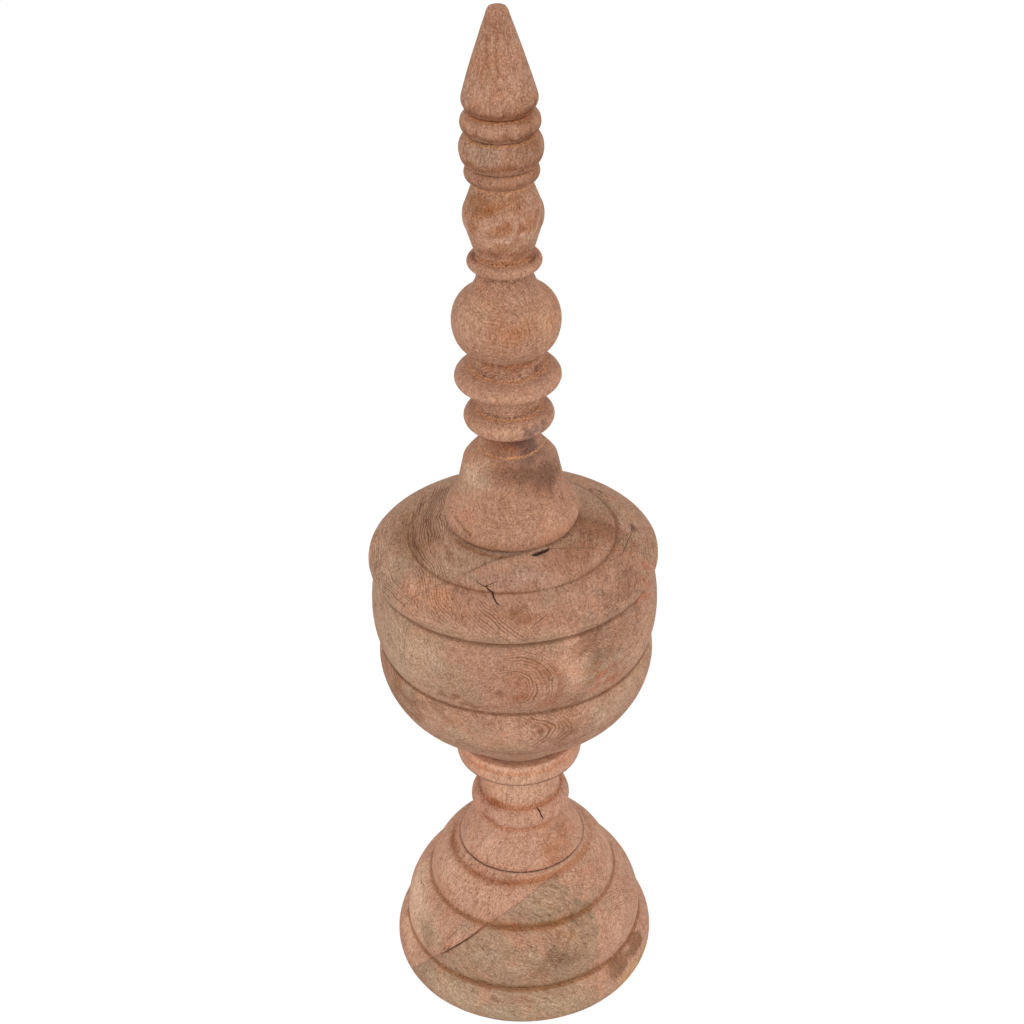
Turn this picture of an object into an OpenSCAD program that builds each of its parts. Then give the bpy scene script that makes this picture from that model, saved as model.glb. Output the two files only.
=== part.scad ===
// Turned wooden finial: a spire of rings and a ball over a bell, standing on a banded urn,
// a waisted stem and a three-stepped foot. Every piece is turned about the same upright axis.
//
// Heights are measured up the axis. Each piece is a stack of courses, read from its bottom up.
// A course climbs by its height to its own upper diameter, either straight or along an arc.

/* [Overall] */
// Height from the floor to the tip; the spike takes up the difference
total_h = 650; // [620:5:900]
// Widest diameter of the foot, over its lowest step
foot_d = 167; // [166:1:180]
// Widest diameter of the urn, over its middle band
urn_d = 171; // [166:1:185]

/* [Foot] */
// Diameter of the flat that stands on the floor
toe_d = 163; // [150:1:165]
// Height of the lowest step
base_h = 24; // [16:0.5:36]
// Diameter of the groove over the lowest step
base_groove_d = 151; // [140:1:156]
// Height of the middle step
step_h = 37.5; // [28:0.5:48]
// Diameter of the groove over the middle step
step_groove_d = 119; // [108:1:128]
// How far the middle step swells
step_swell = 6.3; // [3:0.1:8]
// Height of the top step
cap_h = 25.5; // [18:0.5:34]
// Diameter where the top step meets the cove round the stem
cap_d = 91; // [88:0.5:96]
// How far the top step swells
cap_swell = 3.1; // [1:0.1:5]
// Height of the cove round the foot of the stem
cove_h = 4; // [2:0.5:8]
// How far the cove is hollowed
cove_dip = 0.8; // [0.2:0.1:1.5]
// Margin of the flat on the foot round the piece that it carries
seat_margin = 0.5; // [0:0.1:2]

/* [Stem] */
// Diameter of the skirt, at the foot of the stem
skirt_d = 81; // [74:0.5:86]
// Height of the skirt
skirt_h = 27.4; // [20:0.2:36]
// Diameter of the groove between the skirt and the bead
bead_groove_d = 54.4; // [52:0.2:58]
// Height of the bead
bead_h = 13.8; // [10:0.2:18]
// Diameter over the bead
bead_d = 62.4; // [60:0.2:68]
// Diameter of the neck
neck_d = 50.8; // [40:0.2:52]
// Height of the neck
neck_h = 30.8; // [20:0.2:44]
// How far the neck is hollowed
neck_dip = 0.6; // [0.2:0.1:2]
// Diameter over the lower edge of the collar
collar_d = 76.6; // [70:0.2:84]
// Diameter of the top of the collar, under the urn
collar_top_d = 74.6; // [68:0.2:84]
// Height of the collar
collar_h = 14; // [8:0.2:20]
// How far the side of the collar swells
collar_swell = 1.4; // [0.2:0.1:2]

/* [Urn] */
// Diameter of the flat under the urn
urn_foot_d = 63.4; // [50:0.2:68]
// Height of the shallow part of the bowl
bowl_low_h = 30.7; // [20:0.1:40]
// Diameter where the bowl turns upward
bowl_turn_d = 120; // [100:0.5:136]
// How far the shallow part of the bowl swells
bowl_low_swell = 0.5; // [0.2:0.1:3]
// Height of the round part of the bowl
bowl_h = 48; // [36:0.5:60]
// How far the round part of the bowl swells
bowl_swell = 10; // [5:0.1:12]
// Depth of the grooves on both sides of the middle band
urn_groove = 5.4; // [2:0.1:7]
// Height of the middle band
band_h = 52; // [40:0.5:66]
// Height from the upper groove to the brow of the shoulder
brow_h = 9.1; // [6:0.1:12]
// How far the brow stands in from the widest diameter
brow_inset = 0.5; // [0:0.1:3]
// How far the brow is rounded
brow_swell = 2.4; // [0.5:0.1:3]
// Height of the shoulder
shoulder_h = 11.4; // [6:0.1:16]
// Diameter of the crease between the shoulder and the crown
crown_d = 122.6; // [110:0.2:130]
// How far the shoulder swells
shoulder_swell = 2.3; // [0.5:0.1:4]
// Height of the crown, up to the seat of the spire
crown_h = 10.4; // [5:0.1:14]
// How far the crown swells
crown_swell = 1; // [0.2:0.1:2]

/* [Spire: bell and waist] */
// Diameter of the flat under the bell
bell_foot_d = 72; // [68:0.5:76]
// Diameter over the lip of the bell
bell_d = 78.6; // [78:0.2:88]
// Height of the lip of the bell
lip_h = 14.4; // [10:0.1:20]
// Diameter at the top of the lip
lip_top_d = 72; // [68:0.2:74]
// Height of the flare between the lip and the side
flare_h = 9; // [6:0.1:14]
// Diameter at the top of the flare
flare_top_d = 62.6; // [58:0.2:66]
// How far the flare is hollowed
flare_dip = 0.8; // [0.2:0.1:1.2]
// Height of the side of the bell
side_h = 18.9; // [12:0.1:28]
// Diameter at the top of the side of the bell
side_top_d = 54.8; // [50:0.2:60]
// Height of the shoulder of the bell
bell_top_h = 10.4; // [6:0.1:16]
// How far the shoulder of the bell swells
bell_top_swell = 0.4; // [0.2:0.1:3]
// Diameter of the foot of the waist
waist_foot_d = 36.6; // [32:0.2:42]
// Diameter of the top of the waist
waist_d = 33.6; // [30:0.2:38]
// Height of the waist
waist_h = 12.3; // [8:0.1:18]
// How far the waist and the necks of the spire are hollowed
spire_dip = 0.3; // [0.1:0.1:1]

/* [Spire: lower rings and ball] */
// Height of the ring over the waist
low_ring_h = 12.8; // [8:0.1:16]
// Diameter over the ring over the waist
low_ring_d = 52; // [46:0.2:58]
// Diameter of the neck over that ring
low_neck_d = 37; // [32:0.2:42]
// Height of the neck over that ring
low_neck_h = 13.8; // [8:0.1:20]
// Height of the ring under the ball
ball_ring_h = 12.6; // [8:0.1:16]
// Diameter over the ring under the ball
ball_ring_d = 60.8; // [54:0.2:68]
// Diameter of the neck under the ball
ball_neck_d = 41; // [36:0.2:46]
// Height of the neck under the ball
ball_neck_h = 11.8; // [6:0.1:18]
// Height of the ball, up to its cove
ball_h = 31.4; // [26:0.1:40]
// Diameter of the flat under the ball
ball_foot_d = 46; // [42:0.2:50]
// Diameter over the ball
ball_d = 61.2; // [54:0.2:68]
// Diameter where the ball turns into its cove
ball_top_d = 47.2; // [44:0.2:52]
// Height of the cove over the ball
ball_cove_h = 17.4; // [12:0.1:24]
// How far that cove is hollowed
ball_cove_dip = 2.4; // [0.5:0.1:3]

/* [Spire: vase and upper rings] */
// Diameter of the grooves on both sides of the collar under the vase
vase_foot_d = 31.2; // [28:0.2:34]
// Height of the collar under the vase
vase_ring_h = 7.5; // [5:0.1:11]
// Diameter over the collar under the vase
vase_ring_d = 41.6; // [38:0.2:48]
// Height of the lower cone of the vase
vase_low_h = 17.6; // [10:0.1:26]
// Diameter of the belly of the vase, at both of its edges
vase_d = 41.6; // [38:0.2:46]
// Height of the belly of the vase
belly_h = 12.5; // [6:0.1:18]
// How far the belly of the vase swells
belly_swell = 1.4; // [0.3:0.1:3]
// Height of the upper cone of the vase
vase_top_h = 14.3; // [8:0.1:22]
// Diameter of the groove between the vase and the rings over it
vase_groove_d = 31.2; // [28:0.2:36]
// Height of the ring over the vase
third_ring_h = 8.9; // [6:0.1:12]
// Diameter over the ring over the vase
third_ring_d = 40.8; // [38:0.2:46]
// Diameter of the grooves on both sides of the middle ring
groove_d = 33.6; // [29:0.2:36]
// Height of the middle ring of the three
second_ring_h = 17.9; // [12:0.1:24]
// Diameter over the middle ring of the three
second_ring_d = 45.4; // [40:0.2:52]
// Height of the ring under the spike
first_ring_h = 11.8; // [8:0.1:16]
// Diameter over the ring under the spike
first_ring_d = 43; // [38:0.2:48]

/* [Spire: spike] */
// Diameter of the groove under the spike
heel_groove_d = 29.6; // [26:0.2:34]
// Height of the rounded foot of the spike
heel_h = 8.4; // [5:0.1:12]
// How far the foot of the spike is rounded
heel_swell = 2; // [0.5:0.1:3]
// Widest diameter of the spike
spike_d = 40.4; // [36:0.2:46]
// How far the side of the spike swells
spike_swell = 0.4; // [0.1:0.1:2]
// Diameter of the spike under its blunt tip
tip_d = 12.8; // [8:0.2:16]
// Height of the rounded edge of the tip
tip_edge_h = 4; // [2:0.1:5]
// Diameter of the flat on the tip
tip_flat_d = 9.2; // [4:0.2:10]
// How far the flat on the tip is domed
tip_dome_h = 0.6; // [0.2:0.1:1.5]

/* [Hidden] */

// half the sweep, in degrees, of the ellipse that a course's arc is cut from
FULL = 90;    // a ring: half of an ellipse
ROUND = 72;   // a lip or a bowl
GENTLE = 60;  // a dome or a cove
ARC_TURN = 14;  // degrees turned by one facet of an arc

wood_foot = [0.74, 0.58, 0.46];
wood_stem = [0.79, 0.61, 0.48];
wood_urn = [0.71, 0.56, 0.45];
wood_spire = [0.72, 0.53, 0.43];

urn_groove_d = urn_d - 2 * urn_groove;
brow_d = urn_d - 2 * brow_inset;
foot_seat_d = skirt_d + 2 * seat_margin;
urn_seat_d = bell_foot_d + 2 * seat_margin;

// A course is [height, upper diameter, swell, half sweep]; a swell of 0 is a straight side.
function straight(h, d) = [h, d, 0, GENTLE];
function arc(h, d, swell, sweep = GENTLE) = [h, d, swell, sweep];

// A ring bulges to its crest diameter between the grooves below and above it.
function ring(h, crest_d, below_d, above_d, sweep = FULL) =
    [h, above_d, crest_d / 2 - (below_d + above_d) / 4, sweep];

foot_courses = [
    ring(base_h, foot_d, toe_d, base_groove_d, ROUND),
    arc(step_h, step_groove_d, step_swell),
    arc(cap_h, cap_d, cap_swell),
    arc(cove_h, foot_seat_d, -cove_dip),
];
stem_courses = [
    straight(skirt_h, bead_groove_d),
    ring(bead_h, bead_d, bead_groove_d, neck_d),
    arc(neck_h, neck_d, -neck_dip),
    straight(0, collar_d),
    arc(collar_h, collar_top_d, collar_swell),
];
urn_courses = [
    arc(bowl_low_h, bowl_turn_d, bowl_low_swell),
    arc(bowl_h, urn_groove_d, bowl_swell, ROUND),
    arc(band_h, urn_groove_d, urn_groove),
    arc(brow_h, brow_d, brow_swell, ROUND),
    arc(shoulder_h, crown_d, shoulder_swell),
    arc(crown_h, urn_seat_d, crown_swell),
];
bell_courses = [
    ring(lip_h, bell_d, bell_foot_d, lip_top_d, GENTLE),
    arc(flare_h, flare_top_d, -flare_dip),
    straight(side_h, side_top_d),
    arc(bell_top_h, waist_foot_d, bell_top_swell),
    arc(waist_h, waist_d, -spire_dip),
];
ball_courses = [
    ring(low_ring_h, low_ring_d, waist_d, low_neck_d),
    arc(low_neck_h, low_neck_d, -spire_dip),
    ring(ball_ring_h, ball_ring_d, low_neck_d, ball_neck_d),
    arc(ball_neck_h, ball_neck_d, -spire_dip),
    straight(0, ball_foot_d),
    ring(ball_h, ball_d, ball_foot_d, ball_top_d, ROUND),
    arc(ball_cove_h, vase_foot_d, -ball_cove_dip),
];
vase_courses = [
    ring(vase_ring_h, vase_ring_d, vase_foot_d, vase_foot_d),
    straight(vase_low_h, vase_d),
    arc(belly_h, vase_d, belly_swell),
    straight(vase_top_h, vase_groove_d),
    ring(third_ring_h, third_ring_d, vase_groove_d, groove_d),
    ring(second_ring_h, second_ring_d, groove_d, groove_d),
    ring(first_ring_h, first_ring_d, groove_d, heel_groove_d),
    arc(heel_h, spike_d, heel_swell),
];
tip_courses = [
    arc(tip_edge_h, tip_flat_d, 0.3),
    arc(tip_dome_h, 0, 0.1),
];

// total height of a list of courses
function height(courses, i = 0) = i == len(courses) ? 0 : courses[i][0] + height(courses, i + 1);

foot_h = height(foot_courses);
stem_h = height(stem_courses);
urn_h = height(urn_courses);
stem_z = foot_h;
urn_z = stem_z + stem_h;
spire_z = urn_z + urn_h;
under_spike_h = height(bell_courses) + height(ball_courses) + height(vase_courses);
spike_h = total_h - spire_z - under_spike_h - height(tip_courses);

spire_courses = concat(
    bell_courses,
    ball_courses,
    vase_courses,
    [arc(spike_h, tip_d, spike_swell)],
    tip_courses
);

// Points of one course, from p (left out) up to q, on an elliptic arc that stands out from the
// chord by the swell. A negative swell hollows the course.
function course_points(p, q, swell, sweep) =
    let (
        chord = norm(q - p),
        out = [q[1] - p[1], p[0] - q[0]] / chord,
        turned = 4 * atan(2 * abs(swell) / chord),
        n = swell == 0 ? 1 : max(3, ceil(turned / ARC_TURN))
    )
    [for (i = [1 : n])
        let (
            a = sweep * (2 * i / n - 1),
            along = (sin(a) / sin(sweep) + 1) / 2,
            off = swell * (cos(a) - cos(sweep)) / (1 - cos(sweep))
        )
        i == n ? q : p + (q - p) * along + out * off];

// Outline of a stack of courses that starts at point p.
function outline(courses, p, i = 0) =
    i == len(courses) ? [] :
    let (q = [courses[i][1] / 2, p[1] + courses[i][0]])
    concat(course_points(p, q, courses[i][2], courses[i][3]), outline(courses, q, i + 1));

// A solid turned from a stack of courses on a flat of the given diameter, at height z.
module turned(courses, bottom_d, z) {
    start = [bottom_d / 2, 0];
    side = outline(courses, start);
    translate([0, 0, z])
        rotate_extrude($fn = 96)
            polygon(concat([[0, 0], start], side, [[0, height(courses)]]));
}

module foot() {
    color(wood_foot)
        turned(foot_courses, toe_d, 0);
}

module stem() {
    color(wood_stem)
        turned(stem_courses, skirt_d, stem_z);
}

module urn_body() {
    color(wood_urn)
        turned(urn_courses, urn_foot_d, urn_z);
}

module spire() {
    color(wood_spire)
        turned(spire_courses, bell_foot_d, spire_z);
}

foot();
stem();
urn_body();
spire();
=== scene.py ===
"""Turned wood finial: the looks of its four turned pieces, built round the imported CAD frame.

Sizes are in millimetres until a mesh is written, and heights are measured up the turning axis
from the floor. Angles run round that axis in degrees, from 0 at the front (-Y) towards +X.
"""

import logging
import math
from dataclasses import dataclass
from enum import Enum
from functools import reduce

import bpy
import numpy as np
from mathutils import Matrix, Vector

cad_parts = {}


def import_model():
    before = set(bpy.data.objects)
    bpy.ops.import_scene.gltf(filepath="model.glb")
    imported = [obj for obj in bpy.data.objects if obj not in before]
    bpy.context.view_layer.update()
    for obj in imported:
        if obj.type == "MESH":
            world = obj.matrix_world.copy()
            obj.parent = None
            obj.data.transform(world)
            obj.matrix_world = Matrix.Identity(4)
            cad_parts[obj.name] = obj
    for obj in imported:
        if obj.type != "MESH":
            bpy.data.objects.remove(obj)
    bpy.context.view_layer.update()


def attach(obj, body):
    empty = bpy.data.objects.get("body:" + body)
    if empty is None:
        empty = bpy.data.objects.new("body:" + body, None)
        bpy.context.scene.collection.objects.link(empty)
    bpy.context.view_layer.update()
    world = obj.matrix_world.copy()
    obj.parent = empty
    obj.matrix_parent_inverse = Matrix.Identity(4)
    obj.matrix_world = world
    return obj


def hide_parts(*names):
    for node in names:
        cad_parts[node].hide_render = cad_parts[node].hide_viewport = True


LOG = logging.getLogger("finial")
MM = 0.001

Triple = tuple[float, float, float]
Spot = tuple[float, float]


def tone(red: float, green: float, blue: float) -> Triple:
    """Turns a screen colour into the linear colour that a shader takes.

    Args:
        red: red, 0 to 255.
        green: green, 0 to 255.
        blue: blue, 0 to 255.

    Returns:
        The linear red, green and blue: ((c + 0.055) / 1.055) to the power 2.4.
    """
    return tuple(((c / 255 + 0.055) / 1.055) ** 2.4 for c in (red, green, blue))


# ---------------------------------------------------------------------------- turned shapes


class Sweep(Enum):
    """Half the sweep, in degrees, of the ellipse that a course's arc is cut from."""

    FULL = 90.0
    ROUND = 72.0
    GENTLE = 60.0


@dataclass(frozen=True)
class Course:
    """One course of a turned outline: it climbs to its own upper diameter.

    Args:
        rise: height of the course.
        upper_d: diameter at its upper end.
        swell: how far it stands out from its chord; hollow where negative.
        sweep: how much of an ellipse its arc takes.
    """

    rise: float
    upper_d: float
    swell: float = 0.0
    sweep: Sweep = Sweep.GENTLE

    def points(self, start: np.ndarray, spacing: float) -> np.ndarray:
        """Samples the course.

        The arc stands out from the chord: at angle a of a half sweep s it is
        (sin a / sin s + 1) / 2 of the way along and swell (cos a - cos s) / (1 - cos s) out.

        Args:
            start: radius and height of the lower end.
            spacing: distance between samples.

        Returns:
            Radius and height of each sample, without the start.
        """
        end = np.array([self.upper_d / 2, start[1] + self.rise])
        chord = end - start
        length = float(np.hypot(*chord))
        outward = np.array([chord[1], -chord[0]]) / length
        half = math.radians(self.sweep.value)
        count = max(4, math.ceil((length + 2 * abs(self.swell)) / spacing))
        a = np.linspace(-half, half, count + 1)[1:, None]
        along = (np.sin(a) / math.sin(half) + 1) / 2
        out = self.swell * (np.cos(a) - math.cos(half)) / (1 - math.cos(half))
        return start + chord * along + outward * out


def ring(
    rise: float, crest_d: float, below_d: float, above_d: float, sweep: Sweep = Sweep.FULL
) -> Course:
    """A course that bulges to a crest between the grooves below and above it.

    Args:
        rise: height of the ring.
        crest_d: diameter over the crest.
        below_d: diameter of the groove below.
        above_d: diameter of the groove above.
        sweep: how much of an ellipse its arc takes.

    Returns:
        The course.
    """
    return Course(rise, above_d, crest_d / 2 - (below_d + above_d) / 4, sweep)


def ripple(points: np.ndarray, size: float, seed: int) -> np.ndarray:
    """Smooth seeded noise: the sum of 20 plane waves in random directions.

    Args:
        points: places, one row each.
        size: mean wavelength.
        seed: seed of the directions and phases.

    Returns:
        One value a place, mostly between -1 and 1.
    """
    rng = np.random.default_rng(seed)
    ways = rng.normal(size=(20, 3))
    ways /= np.linalg.norm(ways, axis=1)[:, None]
    waves = 2 * math.pi / (size * rng.uniform(0.6, 1.6, 20))
    phase = points @ (ways * waves[:, None]).T + rng.uniform(0, 2 * math.pi, 20)
    return np.sin(phase).sum(1) / math.sqrt(20)


def directions(line: np.ndarray) -> np.ndarray:
    """Unit direction of a polyline at each of its points."""
    way = np.gradient(line, axis=0)
    return way / np.linalg.norm(way, axis=1)[:, None]


class Turning:
    """A turned surface: an outline carried round the axis, with the marks laid on it."""

    FRONT_BIAS = 0.62  # how much closer the columns stand at the front, where the marks are
    CAVITY_REACH = 4.5  # distance over which the outline is averaged to find its hollows
    UNDER_REACH = 3.6  # height over which the widest part is looked for
    UNDER_START = 0.5  # how far back under it a place lies before it counts
    UNDER_SPAN = 1.3  # how much farther back it lies when it counts in full
    NO_CRACK = 9.0  # distance over half width that stands for no crack near

    def __init__(
        self, bottom_d: float, base_z: float, courses: list[Course], spacing: float, columns: int
    ) -> None:
        """Samples the outline and carries it round.

        Args:
            bottom_d: diameter of the flat underneath.
            base_z: height of that flat.
            courses: the courses of the side, from the bottom up.
            spacing: distance between samples up the outline.
            columns: samples round the axis.
        """
        side = [np.array([[bottom_d / 2, base_z]])]
        for course in courses:
            side.append(course.points(side[-1][-1], spacing))
        self.side = np.vstack(side)
        self.base_z = base_z
        self.top_z = float(self.side[-1, 1])
        lower = self._flat(self.side[0], spacing)
        upper = self._flat(self.side[-1], spacing)[::-1]
        self.outline = np.vstack([lower, self.side, upper])
        self.way = directions(self.outline)
        self.first, self.last = len(lower), len(lower) + len(self.side)
        u = np.arange(columns) / columns
        angle = 2 * math.pi * u - self.FRONT_BIAS * np.sin(2 * math.pi * u)
        self.rows, self.columns = len(self.outline), columns
        sin, cos = np.sin(angle), np.cos(angle)
        self.points = self._spun(self.outline[:, 0], self.outline[:, 1], sin, cos)
        self.normals = self._spun(self.way[:, 1], -self.way[:, 0], sin, cos)
        self.tint = np.ones((len(self.points), 3))
        self.relief = np.zeros(len(self.points))
        self.crack = np.full(len(self.points), self.NO_CRACK)
        self.figure = np.zeros(len(self.points))
        self.flow = np.zeros(len(self.points))

    @staticmethod
    def _flat(edge: np.ndarray, spacing: float) -> np.ndarray:
        """Samples a flat from near the axis out to its edge, without the edge itself.

        Args:
            edge: radius and height of the flat's edge.
            spacing: distance between samples up the side.

        Returns:
            Radius and height of each sample, from the axis outwards.
        """
        count = max(3, int(edge[0] / (2.5 * spacing)))
        share = np.linspace(0, 1, count + 2)[1:-1]
        return np.column_stack([edge[0] * share, np.full(count, edge[1])])

    @staticmethod
    def _spun(out: np.ndarray, up: np.ndarray, sin: np.ndarray, cos: np.ndarray) -> np.ndarray:
        """Carries values of the outline round the axis: x = out sin, y = -out cos, z = up."""
        x, y = out[:, None] * sin, -out[:, None] * cos
        return np.stack([x, y, np.broadcast_to(up[:, None], x.shape)], -1).reshape(-1, 3)

    def spread(self, values: np.ndarray) -> np.ndarray:
        """Gives every place the value of its row."""
        return np.repeat(values, self.columns)

    def near(self, place: np.ndarray, reach: float) -> np.ndarray:
        """Numbers of the places within a distance of a point."""
        return np.flatnonzero(((self.points - place) ** 2).sum(1) < reach * reach)

    def side_share(self) -> np.ndarray:
        """1 on the side of the piece and 0 on its two flats, by row.

        Returns:
            One share a row.
        """
        share = np.zeros(self.rows)
        share[self.first : self.last] = 1
        return share

    def cavity(self) -> np.ndarray:
        """How deep each row lies below the outline averaged round it, in millimetres.

        Each sample is weighed by a bell curve of the distance between them and by its own
        share of the outline. The mean's offset is taken along the outward normal, so grooves
        are positive and crests negative.

        Returns:
            One depth a row.
        """
        gap = np.linalg.norm(self.outline[:, None] - self.outline[None], axis=2)
        weight = np.exp(-((gap / self.CAVITY_REACH) ** 2))
        weight *= np.linalg.norm(np.gradient(self.outline, axis=0), axis=1)
        mean = weight @ self.outline / weight.sum(1)[:, None]
        outward = np.column_stack([self.way[:, 1], -self.way[:, 0]])
        return ((mean - self.outline) * outward).sum(1) * self.side_share()

    def rise(self) -> np.ndarray:
        """How far the surface of each row faces up: the vertical part of its normal."""
        return -self.way[:, 0]

    def ledge(self) -> np.ndarray:
        """How much each row in a groove faces up, the mask of the painted light on the ledges: the
        cavity times 1.6 times the rise.
        """
        return np.clip(self.cavity(), 0, 1) * np.clip(1.6 * self.rise(), 0, 1)

    def under(self) -> np.ndarray:
        """How far each row lies back under the widest part near it, from 0 to 1: the mask of the
        painted shade under wider parts.

        The set-back is the largest radius within reach less the row's own. It counts where
        the surface faces level or down, and fades out until it faces half up.

        Returns:
            One share a row.
        """
        out, up = self.outline.T
        close = np.abs(up[:, None] - up[None]) <= self.UNDER_REACH
        back = np.where(close, out[None], 0).max(1) - out
        facing = np.clip(2.2 * (0.5 - self.rise()), 0, 1)
        counted = np.clip((back - self.UNDER_START) / self.UNDER_SPAN, 0, 1)
        return counted * facing * self.side_share()

    def frame_at(self, spot: Spot) -> np.ndarray:
        """The place on the side at an angle and height, and its directions.

        Args:
            spot: angle in degrees, and height.

        Returns:
            Four rows: the place, the way round, the way up the side, and outwards.
        """
        angle = math.radians(spot[0])
        # a level stretch takes a hair of height a sample, so that heights keep rising
        heights = self.side[:, 1] + np.arange(len(self.side)) * 1e-7
        row = np.interp(spot[1], heights, np.arange(len(self.side)))
        low = min(int(row), len(self.side) - 2)
        a, b = self.side[low], self.side[low + 1]
        out, up = a + (b - a) * (row - low)
        climb = (b - a) / np.linalg.norm(b - a)
        sin, cos = math.sin(angle), math.cos(angle)
        return np.array(
            [
                [out * sin, -out * cos, up],
                [cos, sin, 0],
                [climb[0] * sin, -climb[0] * cos, climb[1]],
                [climb[1] * sin, -climb[1] * cos, -climb[0]],
            ]
        )

    def recolour(self, near: np.ndarray, mask: np.ndarray, gain: Triple) -> None:
        """Multiplies the tint of some places by a gain, as far as the mask goes."""
        self.tint[near] *= 1 + mask[:, None] * (np.array(gain) - 1)

    def draw(self, near: np.ndarray, flow: np.ndarray, shown: np.ndarray) -> None:
        """Keeps a figure's flow and strength at the places where it is the strongest yet.

        Args:
            near: numbers of the places.
            flow: the figure's flow at each.
            shown: the figure's strength at each.
        """
        stronger = shown > self.figure[near]
        self.flow[near] = np.where(stronger, flow, self.flow[near])
        self.figure[near] = np.where(stronger, shown, self.figure[near])

    def mesh(self, name: str) -> bpy.types.Mesh:
        """Writes the surface as a closed mesh, in metres, with its marks as attributes.

        Args:
            name: name of the mesh.

        Returns:
            The mesh: quads between the rows and a fan at each pole.
        """
        # relief only ever presses inwards, so the piece stays inside its solid
        placed = self.points - self.normals * np.maximum(self.relief, 0)[:, None]
        ends = np.array([[0, 0, self.base_z], [0, 0, self.top_z]])
        grid = np.arange(self.rows * self.columns).reshape(self.rows, self.columns)
        after = np.roll(grid, -1, 1)
        quads = np.stack([grid[:-1], after[:-1], after[1:], grid[1:]], -1).reshape(-1, 4)
        low, high = len(placed), len(placed) + 1
        under = np.column_stack([after[0], grid[0], np.full(self.columns, low)])
        over = np.column_stack([grid[-1], after[-1], np.full(self.columns, high)])
        mesh = bpy.data.meshes.new(name)
        faces = quads.tolist() + under.tolist() + over.tolist()
        mesh.from_pydata((np.vstack([placed, ends]) * MM).tolist(), [], faces)
        mesh.update()
        mesh.polygons.foreach_set("use_smooth", np.ones(len(faces), bool))
        blank = np.ones((2, 3))
        colour = np.column_stack([np.vstack([self.tint, blank]), np.ones(len(placed) + 2)])
        made = mesh.attributes.new("tint", "FLOAT_COLOR", "POINT")
        made.data.foreach_set("color", colour.astype(np.float32).ravel())
        scalars = {
            "cavity": self.spread(self.cavity()),
            # ledge and under are the masks of the painted light on the groove ledges and of the
            # painted shade under wider parts
            "ledge": self.spread(self.ledge()),
            "under": self.spread(self.under()),
            "figure": self.figure,
            "flow": self.flow,
            "crack": self.crack,
        }
        for key, values in scalars.items():
            made = mesh.attributes.new(key, "FLOAT", "POINT")
            ended = np.append(values, values[[0, -1]])
            made.data.foreach_set("value", ended.astype(np.float32))
        return mesh


# ---------------------------------------------------------------------------- marks

ARC_STEP = 8.0  # degrees round the axis between the points that a path is laid through
PATH_REACH = 24.0  # how far from its path a mark can still be felt


@dataclass(frozen=True)
class Patch:
    """A mark that lies round a middle.

    Args:
        spot: angle and height of the middle.
        across: half its width round the piece.
        along: half its height up the side.
    """

    spot: Spot
    across: float
    along: float

    def offsets(self, on: Turning, turn: float) -> tuple[np.ndarray, np.ndarray]:
        """Finds where the places near the mark lie in it.

        Args:
            on: the turned surface.
            turn: degrees the mark is turned, anticlockwise as seen from outside.

        Returns:
            The numbers of the places, and for each how many half widths round, half heights
            up, and greater halves outwards it lies from the middle.
        """
        place, round_way, up_way, out_way = on.frame_at(self.spot)
        greater = max(self.across, self.along)
        near = on.near(place, 2 * greater)
        gap = on.points[near] - place
        c, s = math.cos(math.radians(turn)), math.sin(math.radians(turn))
        u, v = gap @ round_way, gap @ up_way
        wide, tall = (u * c + v * s) / self.across, (v * c - u * s) / self.along
        return near, np.column_stack([wide, tall, (gap @ out_way) / greater])


@dataclass(frozen=True)
class Trace:
    """A mark that follows a path over the surface.

    Args:
        spots: angle and height of each corner of the path.
        width: half the mark's width.
    """

    spots: tuple[Spot, ...]
    width: float

    def knots(self, on: Turning) -> np.ndarray:
        """Points of the path on the surface, a few degrees apart.

        Its corners are cut twice, at a quarter and three quarters of each stretch.

        Args:
            on: the turned surface.

        Returns:
            One point a row, from the start to the end.
        """
        course = np.array(self.spots, dtype=float)
        for _ in range(2 if len(self.spots) > 2 else 0):
            a, b = course[:-1], course[1:]
            cut = np.stack([0.75 * a + 0.25 * b, 0.25 * a + 0.75 * b], 1).reshape(-1, 2)
            course = np.vstack([course[:1], cut, course[-1:]])
        pairs = zip(course[:-1], course[1:])
        parts = [np.linspace(a, b, int(abs(b[0] - a[0]) / ARC_STEP) + 2)[:-1] for a, b in pairs]
        course = np.vstack([*parts, course[-1:]])
        return np.array([on.frame_at((spot[0], spot[1]))[0] for spot in course])

    def follow(self, on: Turning) -> tuple[np.ndarray, np.ndarray, np.ndarray]:
        """Measures the places near the path.

        Args:
            on: the turned surface.

        Returns:
            The numbers of the places, their distance from the path, negative on one side of
            it, and how far along it the nearest point lies, from 0 to 1.
        """
        knots = self.knots(on)
        middle = knots.mean(0)
        near = on.near(middle, float(np.linalg.norm(knots - middle, axis=1).max()) + PATH_REACH)
        points, normals = on.points[near], on.normals[near]
        lengths = np.linalg.norm(np.diff(knots, axis=0), axis=1)
        begun = np.append(0, np.cumsum(lengths))
        best = np.full(len(near), np.inf)
        run = np.zeros(len(near))
        for k, length in enumerate(lengths):
            way = (knots[k + 1] - knots[k]) / length
            gap = points - knots[k]
            t = np.clip(gap @ way, 0, length)
            far = np.linalg.norm(gap - t[:, None] * way, axis=1)
            closer = far < np.abs(best)
            side = np.where((np.cross(way, gap) * normals).sum(1) < 0, -1.0, 1.0)
            best = np.where(closer, far * side, best)
            run = np.where(closer, (begun[k] + t) / begun[-1], run)
        return near, best, run

    @staticmethod
    def taper(run: np.ndarray, ends: float) -> np.ndarray:
        """Root of the share of the path to its nearer end times a number, at most 1."""
        return np.sqrt(np.clip(np.minimum(run, 1 - run) * ends, 0, 1))

    def seed(self, step: int, first: int) -> int:
        """The mark's own seed, from the height where it starts."""
        return int(self.spots[0][1] * step) + first


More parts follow.
